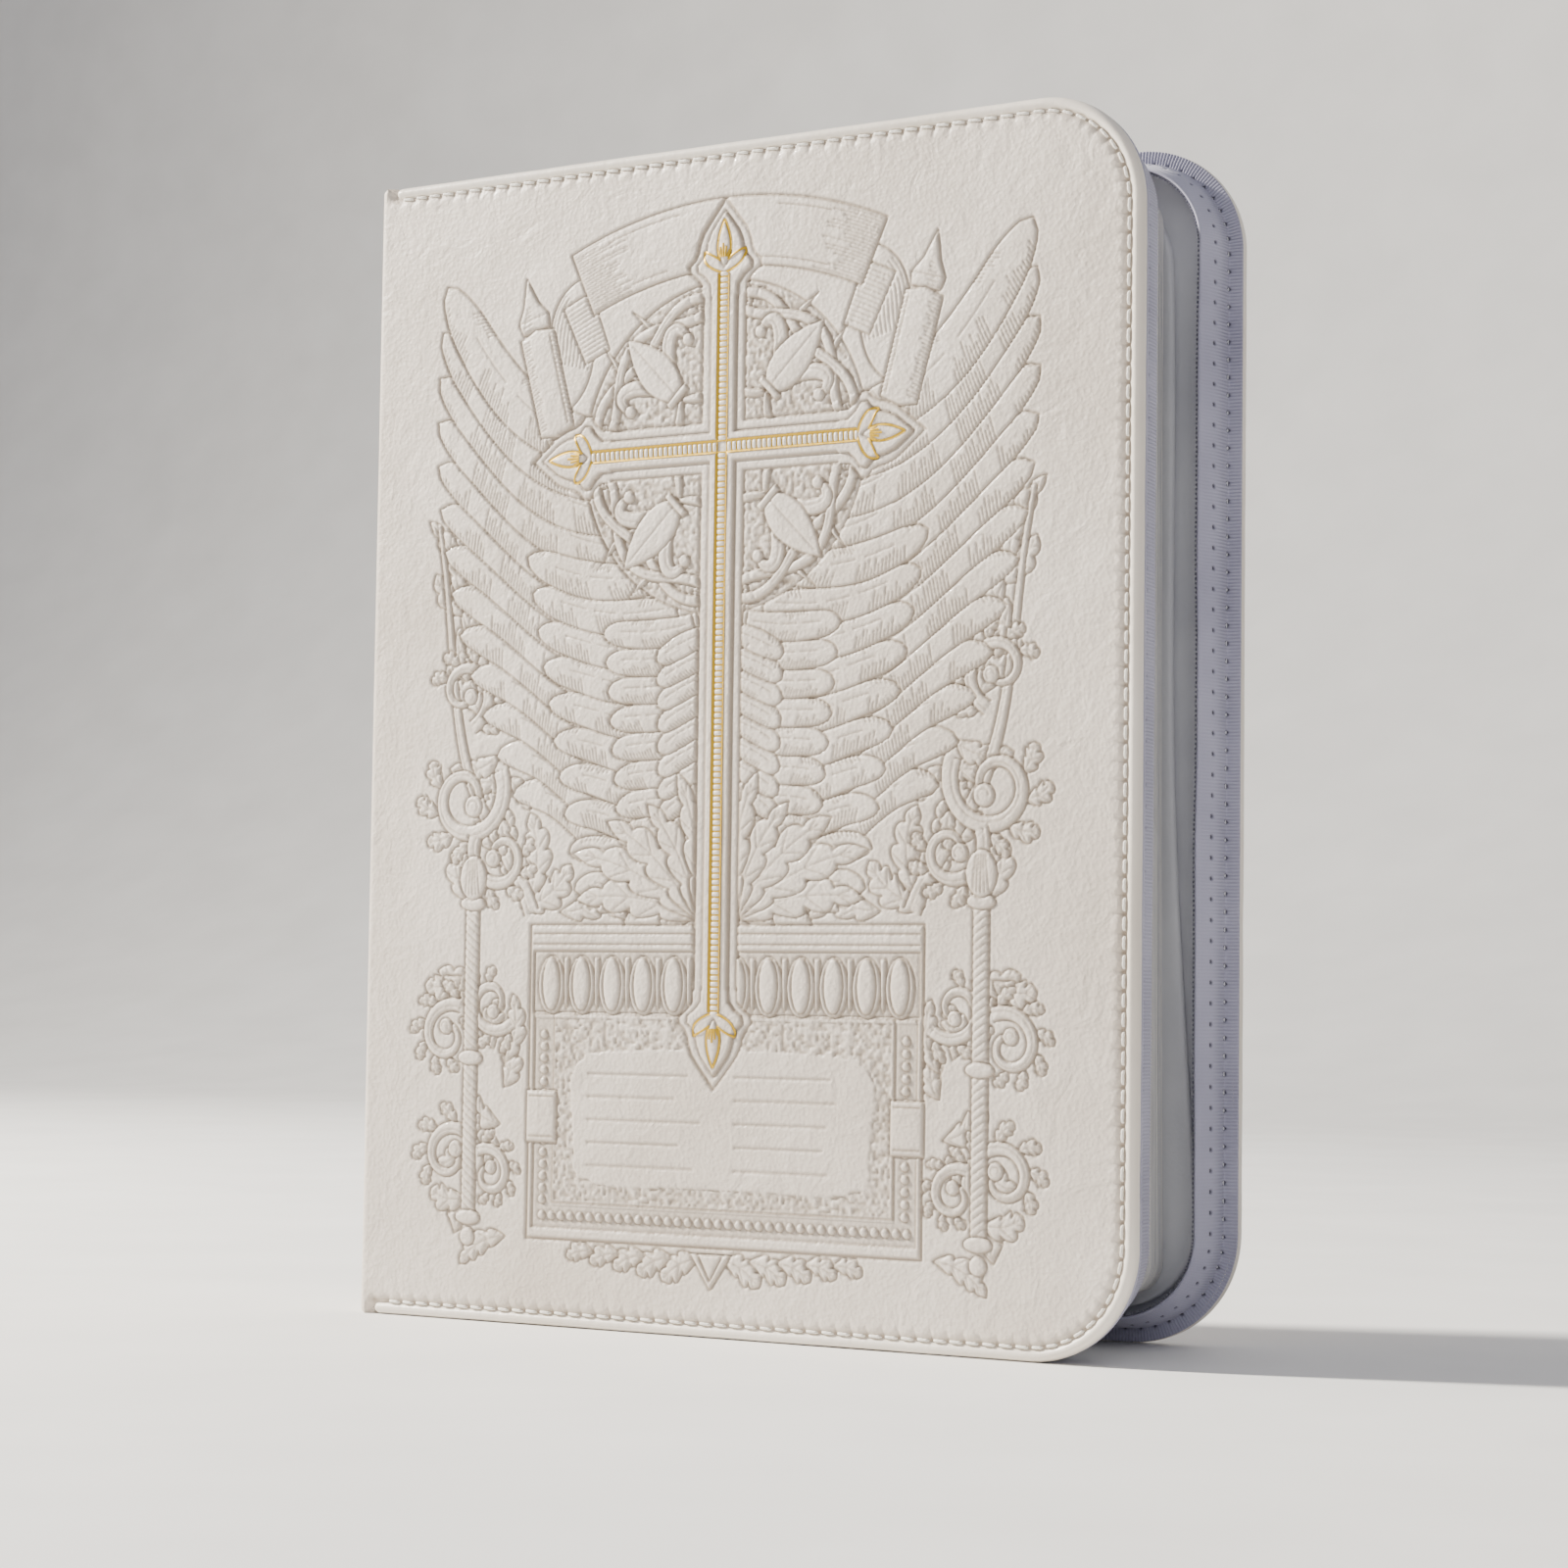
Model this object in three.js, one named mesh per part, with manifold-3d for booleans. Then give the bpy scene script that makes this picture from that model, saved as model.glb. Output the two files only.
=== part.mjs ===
// A zip-around covered bible, standing on its bottom edge and slightly open.
// Millimetres, +Z up, spine towards -X, front cover towards -Y.
import * as THREE from 'three';
import { mergeVertices } from 'three/addons/utils/BufferGeometryUtils.js';
import Module from 'manifold-3d';

const wasm = await Module();
wasm.setup();

// Overall sizes
const CASE_HEIGHT = 270;
const COVER_WIDTH = 203;
const COVER_THICKNESS = 4;
const CORNER_RADIUS = 25;
const OPEN_DEG = 2.9;

// Sheet and trim sizes
const SKIN = 1.05;
const BOARD = 1.3;
const PIPING_RADIUS = 1.5;
const TAPE_WIDTH = 11;
const TAPE_THICKNESS = 0.7;
const TAPE_LEAN_DEG = 15;
const COIL_SIZE = 1.6;
const TAPE_START = 31;

// The book inside
const BOOK_COVER = 1.2;
const BOOK_CORNER = 12;
const BLOCK_THICKNESS = 22;
const SEWN_STRIP = 8;
const SECTIONS_PER_HALF = 3;
const BAND_RADIUS = 1;

// Named clearances
const BOOK_END_ROOM = 8;
const BOOK_FORE_ROOM = 14;
const BOOK_SIDE_ROOM = 5;
const PAGE_SQUARE = 3;
const PAGE_FORE_SQUARE = 6;
const GAP = 0.3;
const HINGE_GAP = 0.4;
const MIDDLE_GAP = 0.15;
const ZIP_DROP = 6.65;

// How far each inner piece turns for each degree its cover turns
const BOOK_COVER_RATIO = 0.97;
const LEAVES_RATIO = 0.9;
// The covers pass parallel by this much when the zip is closed
const CLOSED_PAST_PARALLEL_DEG = 0.9;

// The cross set into the front cover
const CROSS_X = 98;
const CROSS_FOOT = 69;
const CROSS_FROM_TOP = 27;
const CROSS_ARM_DROP = 43;
const CROSS_HALF_SPAN = 39;
const CROSS_LINE = 2.4;
const CROSS_BUD = 4.6;
const CROSS_DEEP = 0.35;
const CROSS_POCKET = 0.65;

// The slider and its pull
const SLIDER_X = 10;
const SLIDER_LENGTH = 12;
const SLIDER_WIDTH = 8;
const SLIDER_PLATE = 1;
const CHANNEL_HEIGHT = 2.3;
const CHANNEL_WIDTH = 4.4;
const SLOT_HEIGHT = 1.3;
const POST_LENGTH = 3;
const POST_WIDTH = 2.6;
const CROWN_WIDTH = 2.2;
const CROWN_START = 2.5;
const CROWN_END = 9.5;
const CROWN_HEIGHT = 2.9;
const CROWN_SUNK = 0.5;
const EYE_START = 4.2;
const EYE_END = 7.8;
const EYE_BOTTOM = 0.25;
const EYE_TOP = 1.9;
const PULL_LENGTH = 30;
const PULL_THICKNESS = 1;
const PULL_TILT_DEG = 3;
const PULL_PIN_X = 6;
const PULL_PIN_RISE = 1.07;
const PULL_WINDOW = 5.5;
const PULL_WINDOW_ROOM = 0.2;
const END_STUB_LENGTH = 14;
const END_STUB_WIDTH = 18;
const END_BEAD_WIDTH = 3.4;

// Derived places
const RAD = Math.PI / 180;
const CASE_DEPTH = BLOCK_THICKNESS + 2 * (COVER_THICKNESS + BOOK_SIDE_ROOM);
const HALF = COVER_THICKNESS / 2;
const AXIS_Y = CASE_DEPTH / 2 - HALF;
const PLATE_START = HALF + HINGE_GAP;
const PLATE_INSET = 2 * PIPING_RADIUS + GAP;
const BOOK_HEIGHT = CASE_HEIGHT - 2 * BOOK_END_ROOM;
const BOOK_COVER_WIDTH = COVER_WIDTH - BOOK_FORE_ROOM;
const BLOCK_HEIGHT = BOOK_HEIGHT - 2 * PAGE_SQUARE;
const BLOCK_DEPTH = BOOK_COVER_WIDTH - PAGE_FORE_SQUARE;
const BOOK_BOTTOM = BOOK_END_ROOM;
const BLOCK_BOTTOM = BOOK_BOTTOM + PAGE_SQUARE;
const CROSS_TOP = CASE_HEIGHT - CROSS_FROM_TOP;
const CROSS_ARM_Z = CROSS_TOP - CROSS_ARM_DROP;
const BOOK_AXIS_X = HALF + HINGE_GAP + BOOK_COVER / 2;
const BOOK_AXIS_Y = BLOCK_THICKNESS / 2 + HINGE_GAP + BOOK_COVER / 2;
const BLOCK_START = BOOK_AXIS_X + BOOK_COVER / 2 + 2 * GAP;
const LEAVES_X = BLOCK_START + SEWN_STRIP + GAP;
const CLOSING_DEG = OPEN_DEG + CLOSED_PAST_PARALLEL_DEG;
const ZIP_LEVEL = CASE_HEIGHT - ZIP_DROP;

// Material colours
const LEATHER = { color: 0xe9e6e0, roughness: 0.55, metalness: 0 };
const PIPING = { color: 0xf1ece2, roughness: 0.45, metalness: 0 };
const CARD = { color: 0xb9a98c, roughness: 0.9, metalness: 0 };
const LINING = { color: 0xc9c8d2, roughness: 0.7, metalness: 0 };
const TAPE = { color: 0xd6d3e2, roughness: 0.85, metalness: 0 };
const COIL = { color: 0xe4e1ea, roughness: 0.4, metalness: 0 };
const BOOK_SKIN = { color: 0xdedce0, roughness: 0.5, metalness: 0 };
const PAGES = { color: 0xcfcfd8, roughness: 0.4, metalness: 0.2 };
const SILK = { color: 0xefece4, roughness: 0.5, metalness: 0 };
const GOLD = { color: 0xc9a44c, roughness: 0.3, metalness: 0.9 };
const METAL = { color: 0xd8d8da, roughness: 0.25, metalness: 1 };

function toSolid(geometry) {
  const bare = geometry.clone();
  bare.deleteAttribute('normal');
  bare.deleteAttribute('uv');
  const merged = mergeVertices(bare, 1e-4);
  const mesh = new wasm.Mesh({
    numProp: 3,
    vertProperties: new Float32Array(merged.attributes.position.array),
    triVerts: new Uint32Array(merged.index.array),
  });
  return new wasm.Manifold(mesh);
}

function toGeometry(solid) {
  const mesh = solid.getMesh();
  const geometry = new THREE.BufferGeometry();
  geometry.setAttribute('position', new THREE.BufferAttribute(new Float32Array(mesh.vertProperties), 3));
  geometry.setIndex(new THREE.BufferAttribute(new Uint32Array(mesh.triVerts), 1));
  geometry.computeVertexNormals();
  return geometry;
}

function join(...geometries) {
  return toGeometry(geometries.map(toSolid).reduce((a, b) => a.add(b)));
}

function cut(base, ...tools) {
  return toGeometry(tools.map(toSolid).reduce((a, b) => a.subtract(b), toSolid(base)));
}

function node(name, geometry, material) {
  const mesh = new THREE.Mesh(geometry, new THREE.MeshStandardMaterial(material));
  mesh.name = name;
  return mesh;
}

function block(x0, x1, y0, y1, z0, z1) {
  const geometry = new THREE.BoxGeometry(x1 - x0, y1 - y0, z1 - z0);
  geometry.translate((x0 + x1) / 2, (y0 + y1) / 2, (z0 + z1) / 2);
  return geometry;
}

// A flat sheet in the XZ plane between two y values, its two far corners rounded.
function sheet(x0, x1, z0, z1, ya, yb, radius) {
  const shape = new THREE.Shape();
  shape.moveTo(x0, z0);
  shape.lineTo(x1 - radius, z0);
  shape.absarc(x1 - radius, z0 + radius, radius, -Math.PI / 2, 0, false);
  shape.lineTo(x1, z1 - radius);
  shape.absarc(x1 - radius, z1 - radius, radius, 0, Math.PI / 2, false);
  shape.lineTo(x0, z1);
  shape.closePath();
  const depth = Math.abs(yb - ya);
  const geometry = new THREE.ExtrudeGeometry(shape, { depth, bevelEnabled: false, curveSegments: 6 });
  geometry.rotateX(Math.PI / 2);
  geometry.translate(0, Math.max(ya, yb), 0);
  return geometry;
}

function roll(x, y, radius, z0, z1) {
  const geometry = new THREE.CylinderGeometry(radius, radius, z1 - z0, 16);
  geometry.rotateX(Math.PI / 2);
  geometry.translate(x, y, (z0 + z1) / 2);
  return geometry;
}

// The run along the top, fore-edge and bottom of a cover, with evenly numbered stations.
class CoverEdge extends THREE.Curve {
  constructor(startX, inset) {
    super();
    this.stations = [];
    const radius = CORNER_RADIUS - inset;
    const right = COVER_WIDTH - CORNER_RADIUS;
    const corners = [[CASE_HEIGHT - CORNER_RADIUS, 90], [CORNER_RADIUS, 0]];
    const steps = 6;
    this.add(startX, CASE_HEIGHT - inset, 90);
    for (const [centreZ, startDeg] of corners) {
      for (let i = 0; i <= steps; i += 1) {
        const deg = startDeg - (90 * i) / steps;
        this.add(right + radius * Math.cos(deg * RAD), centreZ + radius * Math.sin(deg * RAD), deg);
      }
    }
    this.add(startX, inset, -90);
  }

  add(x, z, outwardDeg) {
    const out = outwardDeg * RAD;
    const inward = new THREE.Vector3(-Math.cos(out), 0, -Math.sin(out));
    const tangent = new THREE.Vector3(Math.sin(out), 0, -Math.cos(out));
    this.stations.push({ point: new THREE.Vector3(x, 0, z), tangent, inward });
  }

  get steps() {
    return this.stations.length - 1;
  }

  getPointAt(t) {
    return this.stations[Math.round(t * this.steps)].point.clone();
  }

  // The outline's first axis points in from the edge and its second is the cover's own +Y.
  computeFrenetFrames() {
    return {
      tangents: this.stations.map((station) => station.tangent),
      normals: this.stations.map((station) => station.inward),
      binormals: this.stations.map(() => new THREE.Vector3(0, 1, 0)),
    };
  }
}

// Sweeps an outline given as [distance in from the edge, local y] along the cover's edge.
function edging(outline, startX) {
  const rail = new CoverEdge(startX, PIPING_RADIUS);
  const shape = new THREE.Shape(outline.map(([inset, y]) => new THREE.Vector2(inset - PIPING_RADIUS, y)));
  return new THREE.ExtrudeGeometry(shape, { steps: rail.steps, bevelEnabled: false, extrudePath: rail });
}

function pipingOutline() {
  const sides = 12;
  const reach = PIPING_RADIUS / Math.cos(Math.PI / sides);
  const outline = [];
  for (let i = 0; i < sides; i += 1) {
    const angle = ((i + 0.5) * 2 * Math.PI) / sides;
    outline.push([PIPING_RADIUS + reach * Math.cos(angle), reach * Math.sin(angle)]);
  }
  return outline;
}

// A strip of the leaning zip tape, from one distance to another across its width.
function tapeOutline(side, from, to, thickness) {
  const lean = TAPE_LEAN_DEG * RAD;
  const along = [Math.sin(lean), -Math.cos(lean)];
  const across = [Math.cos(lean), Math.sin(lean)];
  const foot = [PLATE_INSET + GAP, -HALF - GAP];
  const corner = (distance, offset) => [
    foot[0] + along[0] * distance + across[0] * offset,
    side * (foot[1] + along[1] * distance + across[1] * offset),
  ];
  const low = (TAPE_THICKNESS - thickness) / 2;
  return [corner(from, low), corner(to, low), corner(to, low + thickness), corner(from, low + thickness)];
}

// The cross as one closed outline, grown all round by the given amount.
function crossBars(grow, ya, yb) {
  const half = CROSS_LINE / 2 + grow;
  const bars = [
    block(CROSS_X - half, CROSS_X + half, ya, yb, CROSS_FOOT - grow, CROSS_TOP + grow),
    block(CROSS_X - CROSS_HALF_SPAN - grow, CROSS_X + CROSS_HALF_SPAN + grow, ya, yb,
      CROSS_ARM_Z - half, CROSS_ARM_Z + half),
  ];
  const ends = [
    [CROSS_X, CROSS_FOOT],
    [CROSS_X, CROSS_TOP],
    [CROSS_X - CROSS_HALF_SPAN, CROSS_ARM_Z],
    [CROSS_X + CROSS_HALF_SPAN, CROSS_ARM_Z],
  ];
  for (const [x, z] of ends) {
    const bud = new THREE.CylinderGeometry(CROSS_BUD + grow, CROSS_BUD + grow, Math.abs(yb - ya), 4);
    bud.translate(x, (ya + yb) / 2, z);
    bars.push(bud);
  }
  return join(...bars);
}

function coverGroup(label, side) {
  const group = new THREE.Group();
  group.position.set(0, side * AXIS_Y, 0);
  group.rotation.z = side * OPEN_DEG * RAD;
  const far = COVER_WIDTH - PLATE_INSET;
  const high = CASE_HEIGHT - PLATE_INSET;
  const radius = CORNER_RADIUS - PLATE_INSET;
  let leather = sheet(PLATE_START, far, PLATE_INSET, high, side * HALF, side * (HALF - SKIN), radius);
  if (side < 0) {
    leather = cut(leather, crossBars(GAP, -HALF - 1, -HALF + CROSS_POCKET));
    const foil = crossBars(0, -HALF, -HALF + CROSS_DEEP);
    group.add(node('front_cross_foil', foil, GOLD));
  }
  group.add(node(`${label}_leather`, leather, LEATHER));
  const board = sheet(PLATE_START, far - GAP, PLATE_INSET + GAP, high - GAP,
    side * BOARD / 2, -side * BOARD / 2, radius - GAP);
  group.add(node(`${label}_board`, board, CARD));
  const lining = sheet(PLATE_START, far, PLATE_INSET, high, -side * HALF, -side * (HALF - SKIN), radius);
  group.add(node(`${label}_lining`, lining, LINING));
  group.add(node(`${label}_piping`, edging(pipingOutline(), PLATE_START), PIPING));
  const tape = tapeOutline(side, 0, TAPE_WIDTH, TAPE_THICKNESS);
  group.add(node(`${label}_zip_tape`, edging(tape, TAPE_START), TAPE));
  const coilStart = TAPE_WIDTH + GAP;
  const coil = tapeOutline(side, coilStart, coilStart + COIL_SIZE, COIL_SIZE);
  group.add(node(`${label}_zip_coil`, edging(coil, TAPE_START), COIL));
  return group;
}

function spineGroup() {
  const group = new THREE.Group();
  const reach = AXIS_Y;
  const lip = SKIN;
  const skin = block(-HALF, -HALF + SKIN, -reach, reach, 0, CASE_HEIGHT);
  const lips = [0, CASE_HEIGHT - lip].map((z) => block(-HALF, HALF, -reach, reach, z, z + lip));
  const rolls = [-1, 1].map((side) => roll(0, side * AXIS_Y, HALF, 0, CASE_HEIGHT));
  group.add(node('spine_leather', join(skin, ...lips, ...rolls), LEATHER));
  const inner = AXIS_Y - HALF - GAP;
  const low = lip + GAP;
  const high = CASE_HEIGHT - low;
  group.add(node('spine_board', block(-BOARD / 2, BOARD / 2, -inner, inner, low, high), CARD));
  const lining = block(HALF - SKIN, HALF, -inner, inner, low, high);
  group.add(node('spine_lining', lining, LINING));
  return group;
}

function bookSpineGroup() {
  const group = new THREE.Group();
  const top = BOOK_BOTTOM + BOOK_HEIGHT;
  const skin = block(BOOK_AXIS_X - BOOK_COVER / 2, BOOK_AXIS_X + BOOK_COVER / 2,
    -BOOK_AXIS_Y, BOOK_AXIS_Y, BOOK_BOTTOM, top);
  const rolls = [-1, 1].map(
    (side) => roll(BOOK_AXIS_X, side * BOOK_AXIS_Y, BOOK_COVER / 2, BOOK_BOTTOM, top));
  group.add(node('book_spine', join(skin, ...rolls), BOOK_SKIN));
  const halfBlock = BLOCK_THICKNESS / 2;
  const blockTop = BLOCK_BOTTOM + BLOCK_HEIGHT;
  const strip = block(BLOCK_START, BLOCK_START + SEWN_STRIP, -halfBlock, halfBlock, BLOCK_BOTTOM, blockTop);
  group.add(node('sewn_page_folds', strip, PAGES));
  for (const [name, z] of [['tail_band', BLOCK_BOTTOM - GAP], ['head_band', blockTop + GAP]]) {
    const band = new THREE.CylinderGeometry(BAND_RADIUS, BAND_RADIUS, BLOCK_THICKNESS - 2 * GAP, 12);
    const away = Math.sign(z - CASE_HEIGHT / 2);
    band.translate(BLOCK_START + BAND_RADIUS, 0, z + away * BAND_RADIUS);
    group.add(node(name, band, SILK));
  }
  return group;
}

function bookCover(label, side) {
  const group = new THREE.Group();
  group.position.set(BOOK_AXIS_X, side * BOOK_AXIS_Y, 0);
  group.rotation.z = side * CLOSING_DEG * BOOK_COVER_RATIO * RAD;
  const start = BOOK_COVER / 2 + HINGE_GAP;
  const leaf = sheet(start, BOOK_COVER_WIDTH, BOOK_BOTTOM, BOOK_BOTTOM + BOOK_HEIGHT,
    -BOOK_COVER / 2, BOOK_COVER / 2, BOOK_CORNER);
  group.add(node(`book_${label}_cover`, leaf, BOOK_SKIN));
  return group;
}

// Half of the text block: three groups of sewn sections that turn together.
function leavesGroup(label, side) {
  const group = new THREE.Group();
  group.position.set(LEAVES_X, side * BLOCK_THICKNESS / 2, 0);
  group.rotation.z = side * CLOSING_DEG * LEAVES_RATIO * RAD;
  const halfBlock = BLOCK_THICKNESS / 2 - MIDDLE_GAP;
  const pitch = (halfBlock + GAP) / SECTIONS_PER_HALF;
  const far = BLOCK_START + BLOCK_DEPTH - LEAVES_X;
  for (let i = 0; i < SECTIONS_PER_HALF; i += 1) {
    const outer = -side * i * pitch;
    const inner = outer - side * (pitch - GAP);
    const leaf = sheet(0, far, BLOCK_BOTTOM, BLOCK_BOTTOM + BLOCK_HEIGHT, outer, inner, BOOK_CORNER - GAP);
    group.add(node(`${label}_pages_${i + 1}`, leaf, PAGES));
  }
  return group;
}

// The closed end of the zip: both tapes sewn together with the last meshed coil between them.
function closedEnd(name, z) {
  const x0 = HALF + GAP;
  const x1 = x0 + END_STUB_LENGTH;
  const half = END_STUB_WIDTH / 2;
  const flat = block(x0, x1, -half, half, z - TAPE_THICKNESS / 2, z + TAPE_THICKNESS / 2);
  const bead = block(x0, x1, -END_BEAD_WIDTH / 2, END_BEAD_WIDTH / 2, z - COIL_SIZE / 2, z + COIL_SIZE / 2);
  return node(name, join(flat, bead), TAPE);
}

function sliderBody() {
  const x1 = SLIDER_X + SLIDER_LENGTH;
  const half = SLIDER_WIDTH / 2;
  const tall = CHANNEL_HEIGHT / 2 + SLIDER_PLATE;
  const level = ZIP_LEVEL;
  const body = block(SLIDER_X, x1, -half, half, level - tall, level + tall);
  const channel = block(SLIDER_X - 1, x1 + 1, -CHANNEL_WIDTH / 2, CHANNEL_WIDTH / 2,
    level - CHANNEL_HEIGHT / 2, level + CHANNEL_HEIGHT / 2);
  const slots = block(SLIDER_X - 1, x1 + 1, -half - 1, half + 1,
    level - SLOT_HEIGHT / 2, level + SLOT_HEIGHT / 2);
  const post = block(x1 - GAP - POST_LENGTH, x1 - GAP, -POST_WIDTH / 2, POST_WIDTH / 2,
    level - tall, level + tall);
  const top = level + tall;
  const crown = block(SLIDER_X + CROWN_START, SLIDER_X + CROWN_END, -CROWN_WIDTH / 2, CROWN_WIDTH / 2,
    top - CROWN_SUNK, top + CROWN_HEIGHT);
  const eye = block(SLIDER_X + EYE_START, SLIDER_X + EYE_END, -CROWN_WIDTH, CROWN_WIDTH,
    top + EYE_BOTTOM, top + EYE_TOP);
  return node('zip_slider', cut(join(cut(body, channel, slots), post, crown), eye), METAL);
}

// The pull hangs on the slider's crown by its cross bar, which lies on the pull's own pivot.
function pullGroup() {
  const group = new THREE.Group();
  const pinLevel = ZIP_LEVEL + CHANNEL_HEIGHT / 2 + SLIDER_PLATE + PULL_PIN_RISE;
  group.position.set(SLIDER_X + PULL_PIN_X, 0, pinLevel);
  group.rotation.y = PULL_TILT_DEG * RAD;
  const bar = PULL_THICKNESS / 2;
  const half = SLIDER_WIDTH / 2;
  const tab = block(-bar, PULL_LENGTH, -half, half, -bar, bar);
  const windowHalf = CROWN_WIDTH / 2 + GAP + PULL_WINDOW_ROOM;
  const window = block(bar, bar + PULL_WINDOW, -windowHalf, windowHalf, -1, 1);
  group.add(node('zip_pull', cut(tab, window), METAL));
  return group;
}

const group = new THREE.Group();
group.name = 'bible';
group.add(spineGroup());
group.add(bookSpineGroup());
for (const [label, side] of [['front', -1], ['back', 1]]) {
  group.add(coverGroup(label, side));
  group.add(bookCover(label, side));
  group.add(leavesGroup(label, side));
}
group.add(closedEnd('zip_end_top', ZIP_LEVEL));
group.add(closedEnd('zip_end_bottom', CASE_HEIGHT - ZIP_LEVEL));
group.add(sliderBody());
group.add(pullGroup());

// The row's origin is the middle of the bounding box's base.
const reachX = (COVER_WIDTH - PIPING_RADIUS) * Math.cos(OPEN_DEG * RAD) + PIPING_RADIUS;
const centreX = (reachX - HALF) / 2;
group.position.set(-centreX, 0, 0);
group.updateMatrixWorld(true);

export default group;
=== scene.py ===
import math

import bpy
import numpy as np
from mathutils import Matrix, Vector


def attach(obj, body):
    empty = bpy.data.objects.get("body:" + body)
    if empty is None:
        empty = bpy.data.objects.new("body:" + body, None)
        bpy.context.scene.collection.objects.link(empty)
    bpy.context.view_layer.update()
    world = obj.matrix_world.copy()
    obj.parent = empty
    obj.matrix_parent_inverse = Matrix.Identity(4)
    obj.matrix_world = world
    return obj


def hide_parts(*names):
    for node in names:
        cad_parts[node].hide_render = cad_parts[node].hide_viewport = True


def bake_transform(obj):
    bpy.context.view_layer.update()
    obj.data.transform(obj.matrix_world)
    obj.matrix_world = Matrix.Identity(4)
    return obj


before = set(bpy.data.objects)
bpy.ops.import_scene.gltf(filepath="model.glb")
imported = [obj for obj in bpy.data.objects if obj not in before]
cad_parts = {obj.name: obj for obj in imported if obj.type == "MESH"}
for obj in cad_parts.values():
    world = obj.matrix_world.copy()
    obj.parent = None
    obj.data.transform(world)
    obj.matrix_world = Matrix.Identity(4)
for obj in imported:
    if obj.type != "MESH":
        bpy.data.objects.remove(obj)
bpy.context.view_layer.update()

rng = np.random.default_rng(7)
MM = 0.001

# Sizes of the part, in millimetres, in the cover's own frame: u along the cover from its
# hinge, w out from its middle plane, z up.
HEIGHT = 270.0
WIDTH = 203.0
CORNER = 25.0
AXIS_Y = 18.0  # from the middle to each cover's hinge
ORIGIN_X = 100.371  # from the covers' hinges to the row frame's origin
OPEN = math.radians(2.9)  # each cover at rest, from straight ahead
CLOSING = math.radians(3.8)  # from rest to shut
HALF = 2.0  # a cover's half thickness
SIDES = {"front": -1, "back": 1}
BOOK_AXIS = (3.0, 12.0)  # the limp covers' hinge, as (x, y)
BOOK_Z = (8.0, 262.0)
LEAF_AXIS = (12.5, 11.0)
BLOCK_Z = (11.0, 259.0)
BOOK_RATIO = 0.97
LEAF_RATIO = 0.9
BAND_IN = 9.7
CROSS_U = 98.0
CROSS_FOOT = 69.0
CROSS_TOP = 243.0
CROSS_ARM = 200.0
CROSS_SPAN = 39.0


def cover_point(side, u, w, z, axis=(0.0, AXIS_Y), angle=OPEN):
    """Cover-frame arrays to row-frame metres."""
    turn = side * angle
    y = side * w
    x = axis[0] - ORIGIN_X + u * math.cos(turn) - y * math.sin(turn)
    yy = side * axis[1] + u * math.sin(turn) + y * math.cos(turn)
    return np.stack(np.broadcast_arrays(x, yy, z), axis=-1) * MM


def spine_point(x, y, z):
    """Spine-frame millimetres, x from the covers' hinge, to row-frame metres."""
    return np.stack(np.broadcast_arrays(np.asarray(x) - ORIGIN_X, y, z), axis=-1) * MM


# ---------------------------------------------------------------- mesh building


def make(name, verts, faces, materials, body=None, smooth=True):
    """One mesh. The points are any stack or list of grids, and the faces an array or a list of them."""
    mesh = bpy.data.meshes.new(name)
    verts = np.concatenate([np.reshape(part, (-1, 3)) for part in verts]).astype(np.float32)
    faces = np.concatenate(faces) if isinstance(faces, list) else faces
    count, corners = faces.shape
    mesh.vertices.add(len(verts))
    mesh.vertices.foreach_set("co", verts.ravel())
    mesh.loops.add(count * corners)
    mesh.loops.foreach_set("vertex_index", faces.astype(np.int32).ravel())
    mesh.polygons.add(count)
    mesh.polygons.foreach_set("loop_start", np.arange(count, dtype=np.int32) * corners)
    mesh.polygons.foreach_set("loop_total", np.full(count, corners, dtype=np.int32))
    mesh.polygons.foreach_set("use_smooth", np.full(count, smooth))
    mesh.update(calc_edges=True)
    mesh.validate()
    for material in materials if isinstance(materials, (list, tuple)) else [materials]:
        mesh.materials.append(material)
    piece = bpy.data.objects.new(name, mesh)
    bpy.context.collection.objects.link(piece)
    if body:
        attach(piece, body)
    return piece


def grid_faces(rows, cols, wrap_cols=False, flip=False, start=0):
    r, c = np.meshgrid(np.arange(rows - 1), np.arange(cols if wrap_cols else cols - 1), indexing="ij")
    c1 = (c + 1) % cols
    here, after = r * cols, (r + 1) * cols
    quads = np.stack([here + c, after + c, after + c1, here + c1], axis=-1).reshape(-1, 4)
    return (quads[:, ::-1] if flip else quads) + start


def shell(rows, cols, side, start=0):
    """Faces of a closed sheet from two grids of points, the outer one first, and its rim."""
    total = rows * cols
    rim = np.concatenate([np.arange(cols), np.arange(1, rows) * cols + cols - 1,
                          np.arange(cols - 2, -1, -1) + (rows - 1) * cols, np.arange(rows - 2, 0, -1) * cols])
    nxt = np.roll(rim, -1)
    edge = np.stack([rim, nxt, nxt + total, rim + total], axis=-1)
    return [grid_faces(rows, cols, flip=side < 0, start=start),
            grid_faces(rows, cols, flip=side > 0, start=total + start),
            (edge[:, ::-1] if side < 0 else edge) + start]


def ring_angles(count):
    return np.linspace(0, 2 * np.pi, count, endpoint=False)


def rounded(near, radius, low=0.0):
    """1 inside and falling to low in a quarter round where an edge is nearer than the radius."""
    return np.sqrt(np.clip(1 - (1 - np.clip(near / radius, 0, 1)) ** 2, low, 1))


def corner_reach(z, z0, z1, radius):
    """How far a round-cornered edge between z0 and z1 lies past the corners' centres at height z."""
    rise = np.maximum(np.clip(z - (z1 - radius), 0, radius), np.clip(z0 + radius - z, 0, radius))
    return np.sqrt(np.clip(radius**2 - rise**2, 0, None))


def point_values(piece, name, values):
    attribute = piece.data.attributes.new(name, "FLOAT", "POINT")
    attribute.data.foreach_set("value", np.asarray(values, dtype=np.float32).ravel())


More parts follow.
